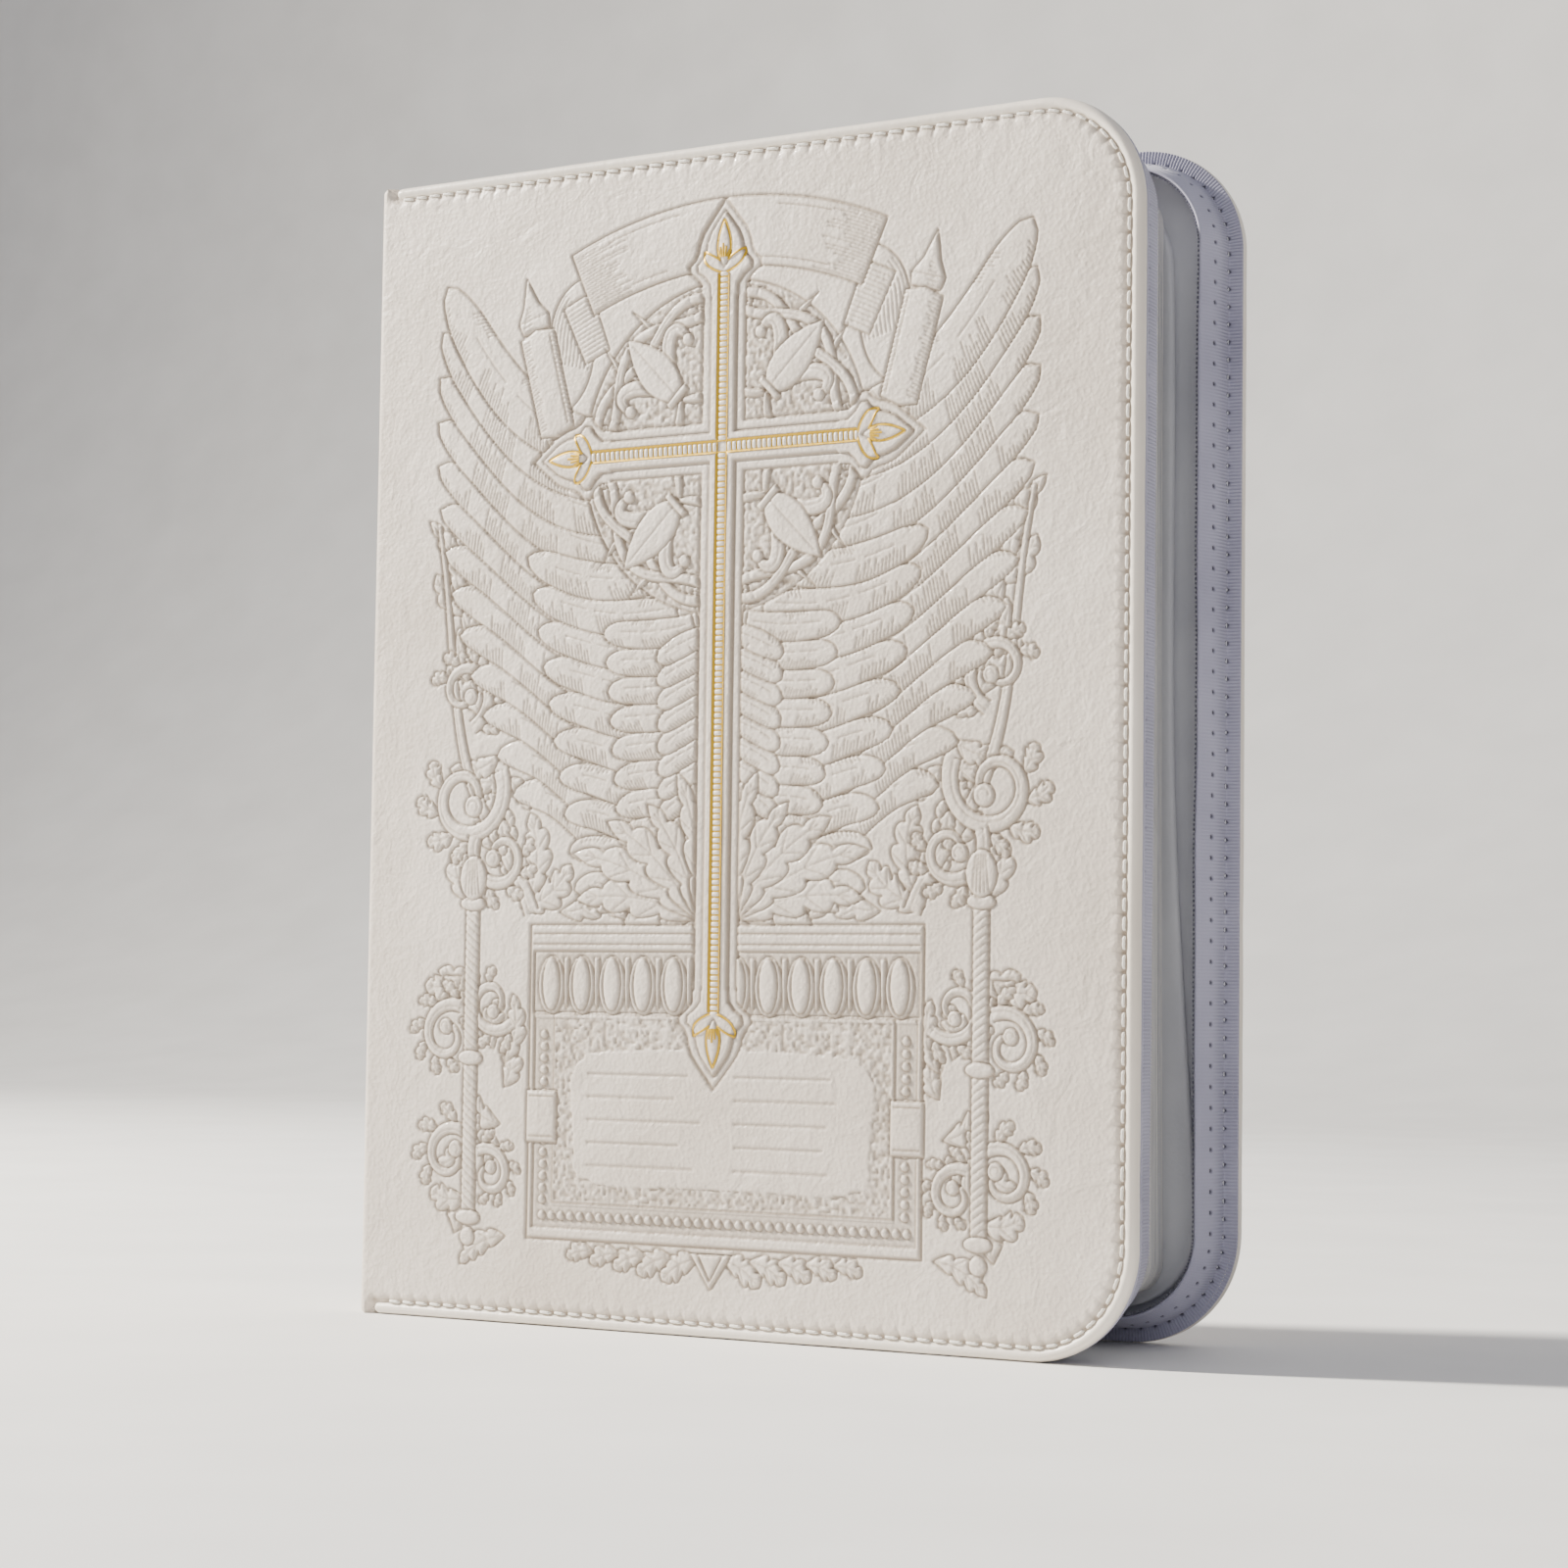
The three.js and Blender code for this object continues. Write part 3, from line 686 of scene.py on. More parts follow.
def ribbon(relief):
    """The arched face of the ribbon across the top. It carries no words."""
    face = np.vstack([arc(105, 114, 66, 90), arc(89, 66, 114, 90)])
    relief.shape(face, 0.05, 0.22, 8, width=0.55, depth=0.4)
    shines = ((103, 108, 97, 20), (103, 82, 74, 16), (91, 106, 100, 14), (91, 84, 72, 20))
    relief.lines([arc(*shine) for shine in shines], 0.34, 0.18)
    for turn in HALVES:
        strokes = [arc(89 + 16 * f, 66.4, 66.4 + rng.uniform(3.2, 8.2), 14) for f in np.linspace(0.05, 0.95, 19)]
        relief.lines(map(turn, strokes), *HATCH)


def wreath(relief):
    """A round wreath of two twisted stems about the crossing, on a stippled ground."""
    centre = np.array([CROSS_U, CROSS_ARM])
    relief.shape(circle(centre, 38, 90), -0.16, 0.0, width=0.55)
    relief.fill(circle(centre, 37.4, 90), -0.2, tone=0.3, rough=0.2)
    for k in range(16):
        a = (k + 0.5) * 2 * np.pi / 16
        way = np.array([np.cos(a), np.sin(a)])
        side = 1.1 * np.array([-way[1], way[0]])
        lean = side * (2.4 if k % 2 else -2.4)
        for reach in (8.2, -7.0):
            root = centre + 33.2 * way
            relief.shape([root - side, root + way * reach + lean, root + side], -0.05, 0.25, 0.9, 0.42)

    def stem(sign, low, high):
        t = np.linspace(low, high, 26)
        r = 33.2 + sign * 2.3 * np.sin(6 * t)
        return np.stack([centre[0] + r * np.cos(t), centre[1] + r * np.sin(t)], axis=-1)

    for k in range(12):
        middle = k * np.pi / 6
        for sign in ((-1, 1) if k % 2 else (1, -1)):
            band(relief, stem(sign, middle - 0.262, middle + 0.262), 1.25, 0.4, -0.05, False)
    bark = []
    for k in range(12):
        sign = 1 if k % 2 else -1
        t = k * np.pi / 6
        bark += [stem(sign, t - 0.1, t + 0.04)[::5], stem(sign, t - 0.02, t + 0.12)[::5]]
    relief.lines(bark, 0.34, 0.2, 0.4)


def fleurs(relief):
    """A bloom with one straight and two curled petals in each quarter of the wreath."""
    for sign in (1, -1):
        base = np.array([CROSS_U + 9.5, CROSS_ARM + sign * 9.5])
        way = np.array([0.707, sign * 0.707])
        side = np.array([-way[1], way[0]])
        for turn in (1, -1):
            out = side * turn
            lower = bezier([base + way * 3, base - way * 1.5 + out * 4, base - way * 2.5 + out * 8.5], 20)
            upper = bezier([base + way * 3, base + way * 9 + out * 1.5, base + way * 20 + out * 7,
                            base + way * 17 + out * 13, base + way * 11.5 + out * 11], 34)
            for line, low, high in ((lower, 0.5, 1.1), (upper, 0.7, 1.9)):
                half = low + (high - low) * np.sin(np.linspace(0, np.pi, len(line))) ** 0.8
                for flip in HALVES:
                    band(relief, flip(line), half, 0.35)
                    relief.shape(flip(circle(line[-1], high * 0.8, 16)), 0.0, 0.4, 1.2, 0.42)
        leaf(relief, base + way * 3, base + way * 24, 9.5, 0.0, 0)
        clasp = np.array([base + way * 3.2 + side * 3.4, base + way * 5 + side * 3.4,
                          base + way * 5 - side * 3.4, base + way * 3.2 - side * 3.4])
        for flip in HALVES:
            relief.shape(flip(clasp), 0.1, 0.3, 1.2, 0.45)


def tablet(relief):
    """The framed tablet at the foot: leaf frieze, beaded border, stippled margin, ruled panel."""
    u0, u1, z0, z1 = 47, 152, 20, 92
    relief.shape(box(u0, u1, z0, z1), 0.1, 0.0, width=0.7, depth=0.42)
    relief.lines([[(u0 + 1, z), (u1 - 1, z)] for z in (90, 87.6)], 0.5, 0.3)
    relief.shape(box(u0 + 1, u1 - 1, 72, 86), -0.22, 0.0, tone=0.3)
    for k in range(12):
        centre = u0 + 6 + k * (u1 - u0 - 12) / 11
        egg = circle((centre, 78.5), 2.5, 16, 2.5)
        relief.shape(circle((centre, 78.2), 3.7, 18, 1.85), -0.15, 0.3, 1.0, 0.5, 0.3)
        relief.shape(egg, -0.05, 0.5, 1.8, 0.5, 0.34)
        if k < 11:
            dart = centre + (u1 - u0 - 12) / 22
            point = [(dart - 0.8, 84.5), (dart + 0.8, 84.5), (dart + 0.5, 74), (dart, 72.6), (dart - 0.5, 74)]
            relief.shape(point, -0.1, 0.3, 0.8, 0.45, 0.3)
    relief.lines([[(u0 + 1, 71.5), (u1 - 1, 71.5)]], 0.6, 0.34)
    beads = []
    for z in np.arange(29, 69, 2.7):
        beads += [(u0 + 4.2, z), (u1 - 4.2, z)]
    beads += [(u, 25.4) for u in np.arange(u0 + 4.2, u1 - 3, 2.7)]
    for edge in ((u0 + 1.6, u0 + 6.8, 22.8, 70.8), (u1 - 6.8, u1 - 1.6, 22.8, 70.8),
                 (u0 + 1.6, u1 - 1.6, 22.8, 28.0)):
        relief.fill(box(*edge), -0.2, tone=0.25)
    for bead in beads:
        relief.shape(circle(bead, 1.1, 12), -0.1, 0.45, 1.0, 0.4, 0.3)
    relief.lines([[(u0 + 1.6, 22.6), (u1 - 1.6, 22.6)], [(u0 + 7, 28.4), (u1 - 7, 28.4)],
                  [(u0 + 7, 28.4), (u0 + 7, 71)], [(u1 - 7, 28.4), (u1 - 7, 71)],
                  [(u0 + 1.4, 22.6), (u0 + 1.4, 71)], [(u1 - 1.4, 22.6), (u1 - 1.4, 71)]], 0.5, 0.34)
    relief.fill(box(u0 + 7.6, u1 - 7.6, 29, 70.8), -0.16, tone=0.26, rough=0.24)
    t = ring_angles(90)
    wobble = 1 + 0.012 * np.sin(9 * t) + 0.01 * np.sin(17 * t)
    across, up = (np.copysign(np.abs(v) ** 0.28, v) for v in (np.cos(t), np.sin(t)))
    panel = np.stack([99.5 + 40 * wobble * across, 48 + 15.5 * wobble * up], axis=-1)
    relief.fill(panel, 0.02, dome=0.06, rim=1.5)
    rules = []
    for row in range(5):
        for a, b in ((64, 95), (104, 135)):
            rules.append([(a, 58 - 5.2 * row), (b - rng.uniform(0, 9), 58 - 5.2 * row)])
    relief.lines(rules, 0.6, 0.26, 0.4)
    for sign in (1, -1):
        strap = box(u0 - 0.5, u0 + 8, 42, 54) if sign > 0 else box(u1 - 8, u1 + 0.5, 42, 54)
        relief.shape(strap, 0.05, 0.4, 3.5)
        relief.lines([[(strap[0][0] + 1, z), (strap[1][0] - 1, z)] for z in (43.4, 52.6)], 0.4, 0.2)
    for k in range(5):
        root = (101 + 7.2 * k, 17.5)
        leaf(relief, root, (root[0] + 10 - 0.6 * k, 12.0 + 1.0 * k), 6.6 - 0.5 * k, 0.2, 3)
    for width, drop in ((5.5, 8.0), (3.4, 6.0)):
        relief.shape([(CROSS_U - width, 18.6), (CROSS_U, 18.6 - drop), (CROSS_U + width, 18.6)], 0.1, 0.3, 2)


def bud_outline(grow, length=11.0):
    """Half of a lily-bud end, as (distance along the arm, half width), from the arm to its point."""
    return np.array([
        (-9.0, 3.4 + grow), (-6.0, 3.6 + grow), (-4.0, 5.2 + grow), (-2.6, 7.2 + grow), (-1.0, 7.4 + grow),
        (0.4, 5.8 + grow), (2.0, 5.0 + grow), (4.0, 4.6 + grow), (6.4, 3.6 + grow), (9.0, 1.6 + grow),
        (length + 1.2 * grow, 0.0),
    ])


ARMS = (
    ((CROSS_U, CROSS_TOP), (0, 1), CROSS_TOP - CROSS_ARM),
    ((CROSS_U, CROSS_FOOT), (0, -1), CROSS_ARM - CROSS_FOOT),
    ((CROSS_U - CROSS_SPAN, CROSS_ARM), (-1, 0), CROSS_SPAN),
    ((CROSS_U + CROSS_SPAN, CROSS_ARM), (1, 0), CROSS_SPAN),
)


def arm_frame(end, way):
    end, way = np.array(end, float), np.array(way, float)
    across = np.array([-way[1], way[0]])
    return lambda a, b: end + np.multiply.outer(a, way) + np.multiply.outer(b, across)


def bud_petal(at, sign):
    """One of the two curled side petals of a bud end."""
    return bezier([at(-3.4, 0.0), at(-1.5, 6.5 * sign), at(2.0, 5.5 * sign)], 14)


def bud_core(at, sign):
    """One side of a bud's middle petal, from its foot to its point."""
    return bezier([at(-2.0, 0.0), at(2.0, 3.6 * sign), at(9.0, 0.0)], 14)


def cross(relief):
    """The plain raised cross with bud ends; its bead line is set in separately."""
    for grow, level, width, depth in ((2.4, -0.12, 0.7, 0.36), (0.0, 0.32, 0.6, 0.4)):
        for end, way, _ in ARMS:
            at = arm_frame(end, way)
            outline = bud_outline(grow)
            poly = np.vstack([at(outline[:, 0], outline[:, 1]), at(outline[::-1, 0], -outline[::-1, 1])])
            relief.shape(poly, level, 0.0, width=width, depth=depth)
        half = 3.4 + grow
        bars = (box(CROSS_U - half, CROSS_U + half, CROSS_FOOT, CROSS_TOP),
                box(CROSS_U - CROSS_SPAN, CROSS_U + CROSS_SPAN, CROSS_ARM - half, CROSS_ARM + half))
        for bar in bars:
            relief.fill(bar, level)
        edges = []
        for end, way, length in ARMS:
            at = arm_frame(end, way)
            edges += [at([-length + half, -8.6], np.full(2, sign * half)) for sign in (1, -1)]
        relief.lines(edges, width, depth)
    for end, way, length in ARMS:
        at = arm_frame(end, way)
        run = np.array([-length, -3.2])
        strip = np.vstack([at(run, np.full(2, 1.55)), at(run[::-1], np.full(2, -1.55))])
        relief.fill(strip, -0.06)
        relief.shape(np.vstack([bud_core(at, 1), bud_core(at, -1)[::-1]]), 0.2, 0.4, 2.0, 0.5, 0.34)
        relief.lines([bud_petal(at, sign) for sign in (1, -1)], 0.5, 0.3)


def draw_design():
    relief = Relief(8, 190, 8, 264, 0.2)
    for part in (side_scrolls, wings, foot_spray, rods, ribbon_tails, rollers, ribbon, wreath, fleurs,
                 tablet, cross):
        part(relief)
    return relief


relief = draw_design()


# ---------------------------------------------------------------- the covers' edges

STRAIGHT = WIDTH - CORNER
ARC = CORNER * math.pi / 2
UPRIGHT = HEIGHT - 2 * CORNER
RAIL = 2 * STRAIGHT + 2 * ARC + UPRIGHT


def rail_point(t, inset):
    """Place on the cover, a distance t along its edge from the spine's top and inset from it."""
    t, inset = np.broadcast_arrays(np.asarray(t, float), inset)
    r = CORNER - inset
    a = (t - STRAIGHT) / CORNER
    b = (t - STRAIGHT - ARC - UPRIGHT) / CORNER
    ends = (STRAIGHT, STRAIGHT + ARC, STRAIGHT + ARC + UPRIGHT, STRAIGHT + 2 * ARC + UPRIGHT)
    stretches = [t <= end for end in ends]
    u = np.select(stretches, [t, STRAIGHT + r * np.sin(a), WIDTH - inset, STRAIGHT + r * np.cos(b)], RAIL - t)
    z = np.select(stretches, [HEIGHT - inset, HEIGHT - CORNER + r * np.cos(a),
                              HEIGHT - CORNER - (t - STRAIGHT - ARC), CORNER - r * np.sin(b)], inset)
    return u, z


def rail_to_row(side, t, inset, w):
    """A place along the cover's edge, as row-frame metres."""
    u, z = rail_point(t, inset)
    return cover_point(side, u, w, z)


def edge_place(u, z):
    """The reverse: how far in from the cover's edge a point is, and how far along it."""
    corner = (u > STRAIGHT) & ((z > HEIGHT - CORNER) | (z < CORNER))
    top = z > HEIGHT / 2
    zc = np.where(top, HEIGHT - CORNER, CORNER)
    r = np.hypot(u - STRAIGHT, z - zc)
    a = np.arctan2(np.abs(u - STRAIGHT), np.abs(z - zc))
    ends = np.minimum(HEIGHT - z, z)
    side = (WIDTH - u < ends) & ~corner
    inset = np.where(corner, CORNER - r, np.minimum(ends, WIDTH - u))
    t = np.where(top, np.minimum(u, STRAIGHT), RAIL - np.minimum(u, STRAIGHT))
    t = np.where(side, STRAIGHT + ARC + np.clip(HEIGHT - CORNER - z, 0, UPRIGHT), t)
    round_t = np.where(top, STRAIGHT + CORNER * a, RAIL - STRAIGHT - CORNER * a)
    return inset, np.where(corner, round_t, t)


STITCH = 4.0
SEAM = 3.15  # the stitch line, from the cover's edge
EDGE_IN = 2.2  # where the leather goes under the piping


def skin_height(u, z, seed):
    """How far the leather stands out of the cover's middle plane, and the shade in its needle dips."""
    inset, t = edge_place(u, z)
    d = inset - SEAM
    phase = (t / STITCH) % 1.0
    near_hole = np.abs(phase - 0.5) * 2
    w = HALF - 0.62 * np.exp(-((np.clip(d, 0, None) / 1.05) ** 2)) + 1.1 * np.clip(d, None, 0)
    pucker = np.exp(-(((d - 0.9) / 1.3) ** 2))
    w += (0.16 * (1 - near_hole) - 0.3 * near_hole**4) * pucker
    w += 0.13 * place_noise(u, z, 38, 38, seed) + 0.05 * place_noise(u, z, 7.5, 9.5, seed + 1)
    w += 0.06 * place_noise(t, inset, 5.5, 3.5, seed + 2) * np.exp(-((d / 6) ** 2))
    shade = np.exp(-(((d - 0.1) / 0.75) ** 2)) * (0.35 + 0.5 * near_hole**3)
    return w, np.clip(shade, 0, 1)


def spaced(low, high, dense_low, dense_high, dense, loose):
    parts = [
        np.linspace(low, dense_low, max(2, int((dense_low - low) / loose)), endpoint=False),
        np.linspace(dense_low, dense_high, max(2, int((dense_high - dense_low) / dense)), endpoint=False),
        np.linspace(dense_high, high, max(2, int((high - dense_high) / loose))),
    ]
    return np.concatenate(parts)


PANEL_START = 9.0
SKIN_SEEDS = {-1: 31, 1: 57}


def fit_to_edge(uu, zz, inset):
    """Moves the columns right of the middle so that the last one follows the cover's edge."""
    fixed = 150.0
    limit = STRAIGHT + corner_reach(zz, inset, HEIGHT - inset, CORNER - inset)
    return np.where(uu > fixed, fixed + (uu - fixed) / (WIDTH - inset - fixed) * (limit - fixed), uu)


def panel_grid(side):
    """The rows and columns of a cover's leather, close where the design or the seam needs it."""
    margins, dense, loose = ((12, 10), 0.3, 0.4) if side < 0 else ((14, 12), 1.0, 0.45)
    far = (184, 262) if side < 0 else (190, 258)
    return (spaced(PANEL_START, WIDTH - EDGE_IN, margins[0], far[0], dense, loose),
            spaced(EDGE_IN, HEIGHT - EDGE_IN, margins[1], far[1], dense, loose))


def skin_panel(label):
    side = SIDES[label]
    art = side < 0
    uu, zz = np.meshgrid(*panel_grid(side), indexing="ij")
    uu = fit_to_edge(uu, zz, EDGE_IN)
    w, shade = skin_height(uu, zz, SKIN_SEEDS[side])
    if art:
        w += relief.at(uu, zz)
        # painted shade: the stitch groove and needle dips, and the design's grooves and grounds
        shade = np.maximum(shade, relief.at(uu, zz, relief.tone))
    piece = make(f"{label}_leather_panel", cover_point(side, uu, w, zz), grid_faces(*uu.shape, flip=art),
                 LEATHER, f"{label}_cover")
    # the point attribute carries the painted shade to the leather's material
    point_values(piece, "tone", np.clip(shade, 0, 1))
    return piece


def hinge_skin(label):
    """The leather from the middle of the spine, round the roll of the joint, to the cover."""
    side = SIDES[label]
    path = [(-HALF - 1.1 * (1 - (y / AXIS_Y) ** 2), y) for y in np.linspace(0, AXIS_Y, 14)[:-1]]
    inside = [(-0.95, y) for y in np.linspace(0, AXIS_Y - HALF, 14)[:-1]]
    for a in np.linspace(0, 1, 9)[:-1]:
        for line, angle in ((path, math.pi - a * (math.pi / 2 + OPEN)), (inside, math.radians(-150 + 165 * a))):
            line.append((HALF * math.cos(angle), AXIS_Y + HALF * math.sin(angle)))
    share = (panel_grid(side)[1] - EDGE_IN) / (HEIGHT - 2 * EDGE_IN)
    z = share * HEIGHT
    tuck = 0.7 * np.clip(1 - np.minimum(z, HEIGHT - z) / 1.2, 0, 1) ** 2
    outer, inner, shades = [], [], []
    for (x, y), (xi, yi) in zip(path, inside):
        nx, ny = (x / HALF, (y - AXIS_Y) / HALF) if y > AXIS_Y - 0.01 else (-1.0, 0.0)
        wave = 0.1 * place_noise(y, z, 9, 26, 80) * (1 - (y / AXIS_Y) ** 4 if y < AXIS_Y else 0)
        outer.append(spine_point(x + nx * (wave - tuck), side * (y - ny * tuck), z))
        inner.append(spine_point(xi, side * yi, z))
        shades.append(0 * z)
    for u in (*np.linspace(0, PANEL_START, 13), PANEL_START + 0.35, PANEL_START + 0.7, PANEL_START + 0.9):
        ease = min(1.0, u / 2.4)
        under = max(0.0, u - PANEL_START) * 0.04 + max(0.0, u - PANEL_START - 0.7) * 2
        inset = EDGE_IN * ease
        z = inset + share * (HEIGHT - 2 * inset)
        w, shade = skin_height(u, z, SKIN_SEEDS[side])
        outer.append(cover_point(side, u, HALF + (w - HALF) * ease - under, z))
        inner.append(cover_point(side, max(u, 1.9), 0.9 - 0.7 * (1 - ease), z))
        shades.append(shade * ease)
    faces = shell(len(outer), len(z), side)
    piece = make(f"{label}_hinge_leather", outer + inner, faces, LEATHER)
    piece.data.polygons.foreach_set("use_smooth", np.repeat([True, True, False], [len(part) for part in faces]))
    # painted shade of the seam on the outer face near the cover, none elsewhere
    point_values(piece, "tone", np.stack([shades, 0 * np.stack(shades)]))
    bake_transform(piece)
    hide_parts("spine_leather")


def edge_piping(label):
    """The rolled leather edge, drawn towards each needle hole of the seam beside it."""
    side = SIDES[label]
    end = 2.2
    tt, aa = np.meshgrid(np.linspace(end, RAIL - end, 1310), ring_angles(20), indexing="ij")
    pull = (np.abs((tt / STITCH) % 1.0 - 0.5) * 2) ** 4
    inward = np.clip(np.cos(aa), 0, 1)
    across = 1.42 + 0.07 * place_noise(tt, aa, 9, 2.1, 5) + 0.42 * pull * inward**2
    tall = 1.95 + 0.06 * place_noise(tt, aa, 14, 9, 6) - 0.1 * pull * inward
    round_end = rounded(np.minimum(tt - end, RAIL - end - tt), 1.6)
    pts = rail_to_row(side, tt, 1.5 + across * np.cos(aa) * round_end, tall * np.sin(aa) * round_end)
    piece = make(f"{label}_edge_piping", pts, grid_faces(*tt.shape, wrap_cols=True, flip=side > 0), PIPING,
                 f"{label}_cover")
    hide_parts(f"{label}_piping")


def edge_stitches(label):
    """One thread stitch every few millimetres, dipping into the leather at both ends."""
    side = SIDES[label]
    along = np.linspace(-1, 1, 11)[:, None]
    ring = ring_angles(8)
    lift = 1.62 - 0.8 * np.abs(along) ** 5
    radius = 0.34 * np.sqrt(np.clip(1.02 - along**6, 0.05, 1)) * (1 + 0.1 * np.sin(9 * along))
    inset = SEAM + 0.02 + 0.07 * along + radius * np.cos(ring)
    verts, faces = [], []
    for k in range(int((RAIL - 8) / STITCH)):
        length = 1.7 + rng.uniform(-0.06, 0.06)
        t = STITCH * (k + 1.5) + along * length
        verts.append(rail_to_row(side, t, inset, lift + radius * np.sin(ring)))
        faces.append(grid_faces(11, 8, wrap_cols=True, flip=side > 0, start=88 * k))
    make(f"{label}_edge_stitches", verts, faces, THREAD, f"{label}_cover")


LEANS = {-1: math.radians(3), 1: math.radians(15)}
FLARE = 3.1  # the tape's part before its seam
TAPE_SEAM = 3.35  # from the cover's edge


def tape_point(side, t, q, lift):
    """Row-frame place on the tape, t along it, q across it from its seam, lift off its outer face.

    Before the seam it lies flat over the piping's inner side; after it, it stands up and leans."""
    lean = LEANS[side]
    turn = np.clip((q + 0.9) / 1.8, 0, 1)
    turn = turn * turn * (3 - 2 * turn)
    flat_i, flat_w = TAPE_SEAM + q, -(HALF + 0.12) + 0.1 * np.clip(-q - 1.5, 0, None)
    up_i, up_w = TAPE_SEAM + q * math.sin(lean), -(HALF + 0.12) - q * math.cos(lean)
    inset = flat_i * (1 - turn) + up_i * turn - lift * turn * math.cos(lean)
    w = flat_w * (1 - turn) + up_w * turn - lift * (turn * math.sin(lean) + (1 - turn))
    return rail_to_row(side, t, inset, w)


RIB = 0.78
THREAD_PITCH = 0.62
TAPE_FACE = 11.2  # and after it
TAPE_START = 18.0
CLOSED_IN = 6.65  # from the top or bottom edge to the closed end's middle


def tape_bow(side, t, q):
    """How far the tape bellies out, fading towards its two ends."""
    fade = np.clip((t - TAPE_START) / 16, 0, 1) * np.clip((RAIL - TAPE_START - t) / 16, 0, 1)
    rise = np.sin(np.pi * np.clip(q / TAPE_FACE, 0, 1))
    return fade * (0.45 * rise + 0.22 * place_noise(t, q, 22, 9, 11 + side) * np.clip(q / 3, 0, 1))


def zip_tape(label):
    """The woven tape, ribbed across, with its two rows of needle holes."""
    side = SIDES[label]
    ts = np.arange(TAPE_START, RAIL - TAPE_START, RIB / (4))
    tt, qq = np.meshgrid(ts, np.linspace(-FLARE, TAPE_FACE, 42), indexing="ij")
    strength = np.clip(1.15 - (0.95 if side > 0 else 0.3) / (1 + np.exp(-(qq - 3.6) * 1.1)), 0, 1)
    strength = strength * (0.8 + 0.2 * place_noise(tt, qq, 11, 4, 61))
    rib = np.sin(2 * np.pi * tt / RIB)
    weave = 0.035 * np.sin(2 * np.pi * qq / THREAD_PITCH + np.pi * np.floor(tt / RIB))
    hole = np.zeros(tt.shape)
    for row, pitch, radius in ((0.15, STITCH, 0.5), (6.0, 4.6, 0.45 if side > 0 else 0.2)):
        offset = (tt + 0.4 * row) % pitch - pitch / 2
        hole = np.maximum(hole, np.exp(-((offset**2 + (qq - row) ** 2) / radius**2) ** 1.5))
    lift = 0.15 * rib * strength + weave * strength - 0.6 * hole
    bow = tape_bow(side, tt, qq)
    front, back = tape_point(side, tt, qq, lift + bow), tape_point(side, tt, qq, -0.5 + bow)
    pts = np.concatenate([front, back[:, ::-1]], axis=1)
    piece = make(f"{label}_woven_tape", pts, grid_faces(*pts.shape[:2], wrap_cols=True, flip=side > 0), TAPE,
                 f"{label}_cover")
    # painted shade: near black in the needle holes, darker in the troughs between the ribs where the weave is
    # strong
    shade = np.clip(hole * 1.5, 0, 1) + 0.3 * strength * (0.5 - 0.5 * rib)
    point_values(piece, "hole", np.concatenate([np.clip(shade, 0, 1), np.zeros(tt.shape)], axis=1))
    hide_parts(f"{label}_zip_tape")
    return piece


def zip_teeth(label):
    """The coil's turns along the free edge of the tape, on its inner side."""
    side = SIDES[label]
    first, pitch = 32, 1.05
    count = int((RAIL - 2 * first) / pitch)
    ring = ring_angles(7)
    along = np.linspace(0, 1, 5)[:, None]
    tt = (first + pitch * np.arange(count))[:, None, None] + 0.34 * np.cos(ring)
    q = 8.7 + 2.2 * along + 0 * tt
    lift = tape_bow(side, tt, q) - 1.05 + 0.42 * np.sin(ring) * (0.55 + 0.45 * np.sin(np.pi * along))
    faces = [grid_faces(5, 7, wrap_cols=True, flip=side > 0, start=35 * k) for k in range(count)]
    piece = make(f"{label}_zip_teeth", tape_point(side, tt, q, lift), faces, COIL, f"{label}_cover")
    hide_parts(f"{label}_zip_coil")


def tape_bridge(label, top):
    """The last of the tape, which folds from the cover to the closed end at the spine."""
    side = SIDES[label]
    up = 1 if top else -1
    rr, cc = np.meshgrid(np.linspace(0, 1, 22), np.linspace(0, 1, 12), indexing="ij")
    t = 14.0 + 8.0 * rr
    on_cover = tape_point(side, t if top else RAIL - t, TAPE_FACE * cc, 0.03)
    level = HEIGHT - CLOSED_IN if top else CLOSED_IN
    flat = spine_point(t, side * (8.6 - 7.6 * cc), level + 0.5 * up)
    ease = (rr * rr * (3 - 2 * rr))[..., None]
    pts = flat * (1 - ease) + on_cover * ease
    pts = np.concatenate([pts, (pts - np.array([0, 0, 0.6 * up * MM]))[:, ::-1]], axis=1)
    piece = make(f"{label}_tape_end_{'top' if top else 'bottom'}", pts,
                 grid_faces(*pts.shape[:2], wrap_cols=True, flip=(side > 0) == top), TAPE)
    point_values(piece, "hole", np.zeros(pts.shape[:2]))
    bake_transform(piece)
    return piece


def padded_lining(label):
    """The padded lining, pulled in at its seam and swelling beside it."""
    side = SIDES[label]
    edge = 3.5
    us = np.concatenate([np.linspace(2.6, 170, 60), np.linspace(172, WIDTH - edge, 34)])
    uu, zz = np.meshgrid(us, np.linspace(edge, HEIGHT - edge, 90), indexing="ij")
    uu = fit_to_edge(uu, zz, edge)
    inset, _ = edge_place(uu, zz)
    soft = 1 - np.exp(-(((inset - 3.4) / 4.0) ** 2))
    roll = 0.5 * np.exp(-(((inset - 8.5) / 3.0) ** 2)) * (1 + 0.35 * place_noise(uu, zz, 60, 28, 21 + side))
    swell = 0.3 * soft + roll * np.clip((uu - 150) / 40, 0, 1)
    swell += 0.12 * place_noise(uu, zz, 22, 19, 23 + side) * soft
    swell = np.minimum(swell, 3.0 - 0.0157 * uu + 0.6 * np.clip((uu - 194) / 3, 0, 1))
    pts = [cover_point(side, uu, -HALF + 0.9, zz), cover_point(side, uu, -HALF - swell, zz)]
    piece = make(f"{label}_padded_lining", pts, shell(*uu.shape, side), LINING, f"{label}_cover")
    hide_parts(f"{label}_lining")


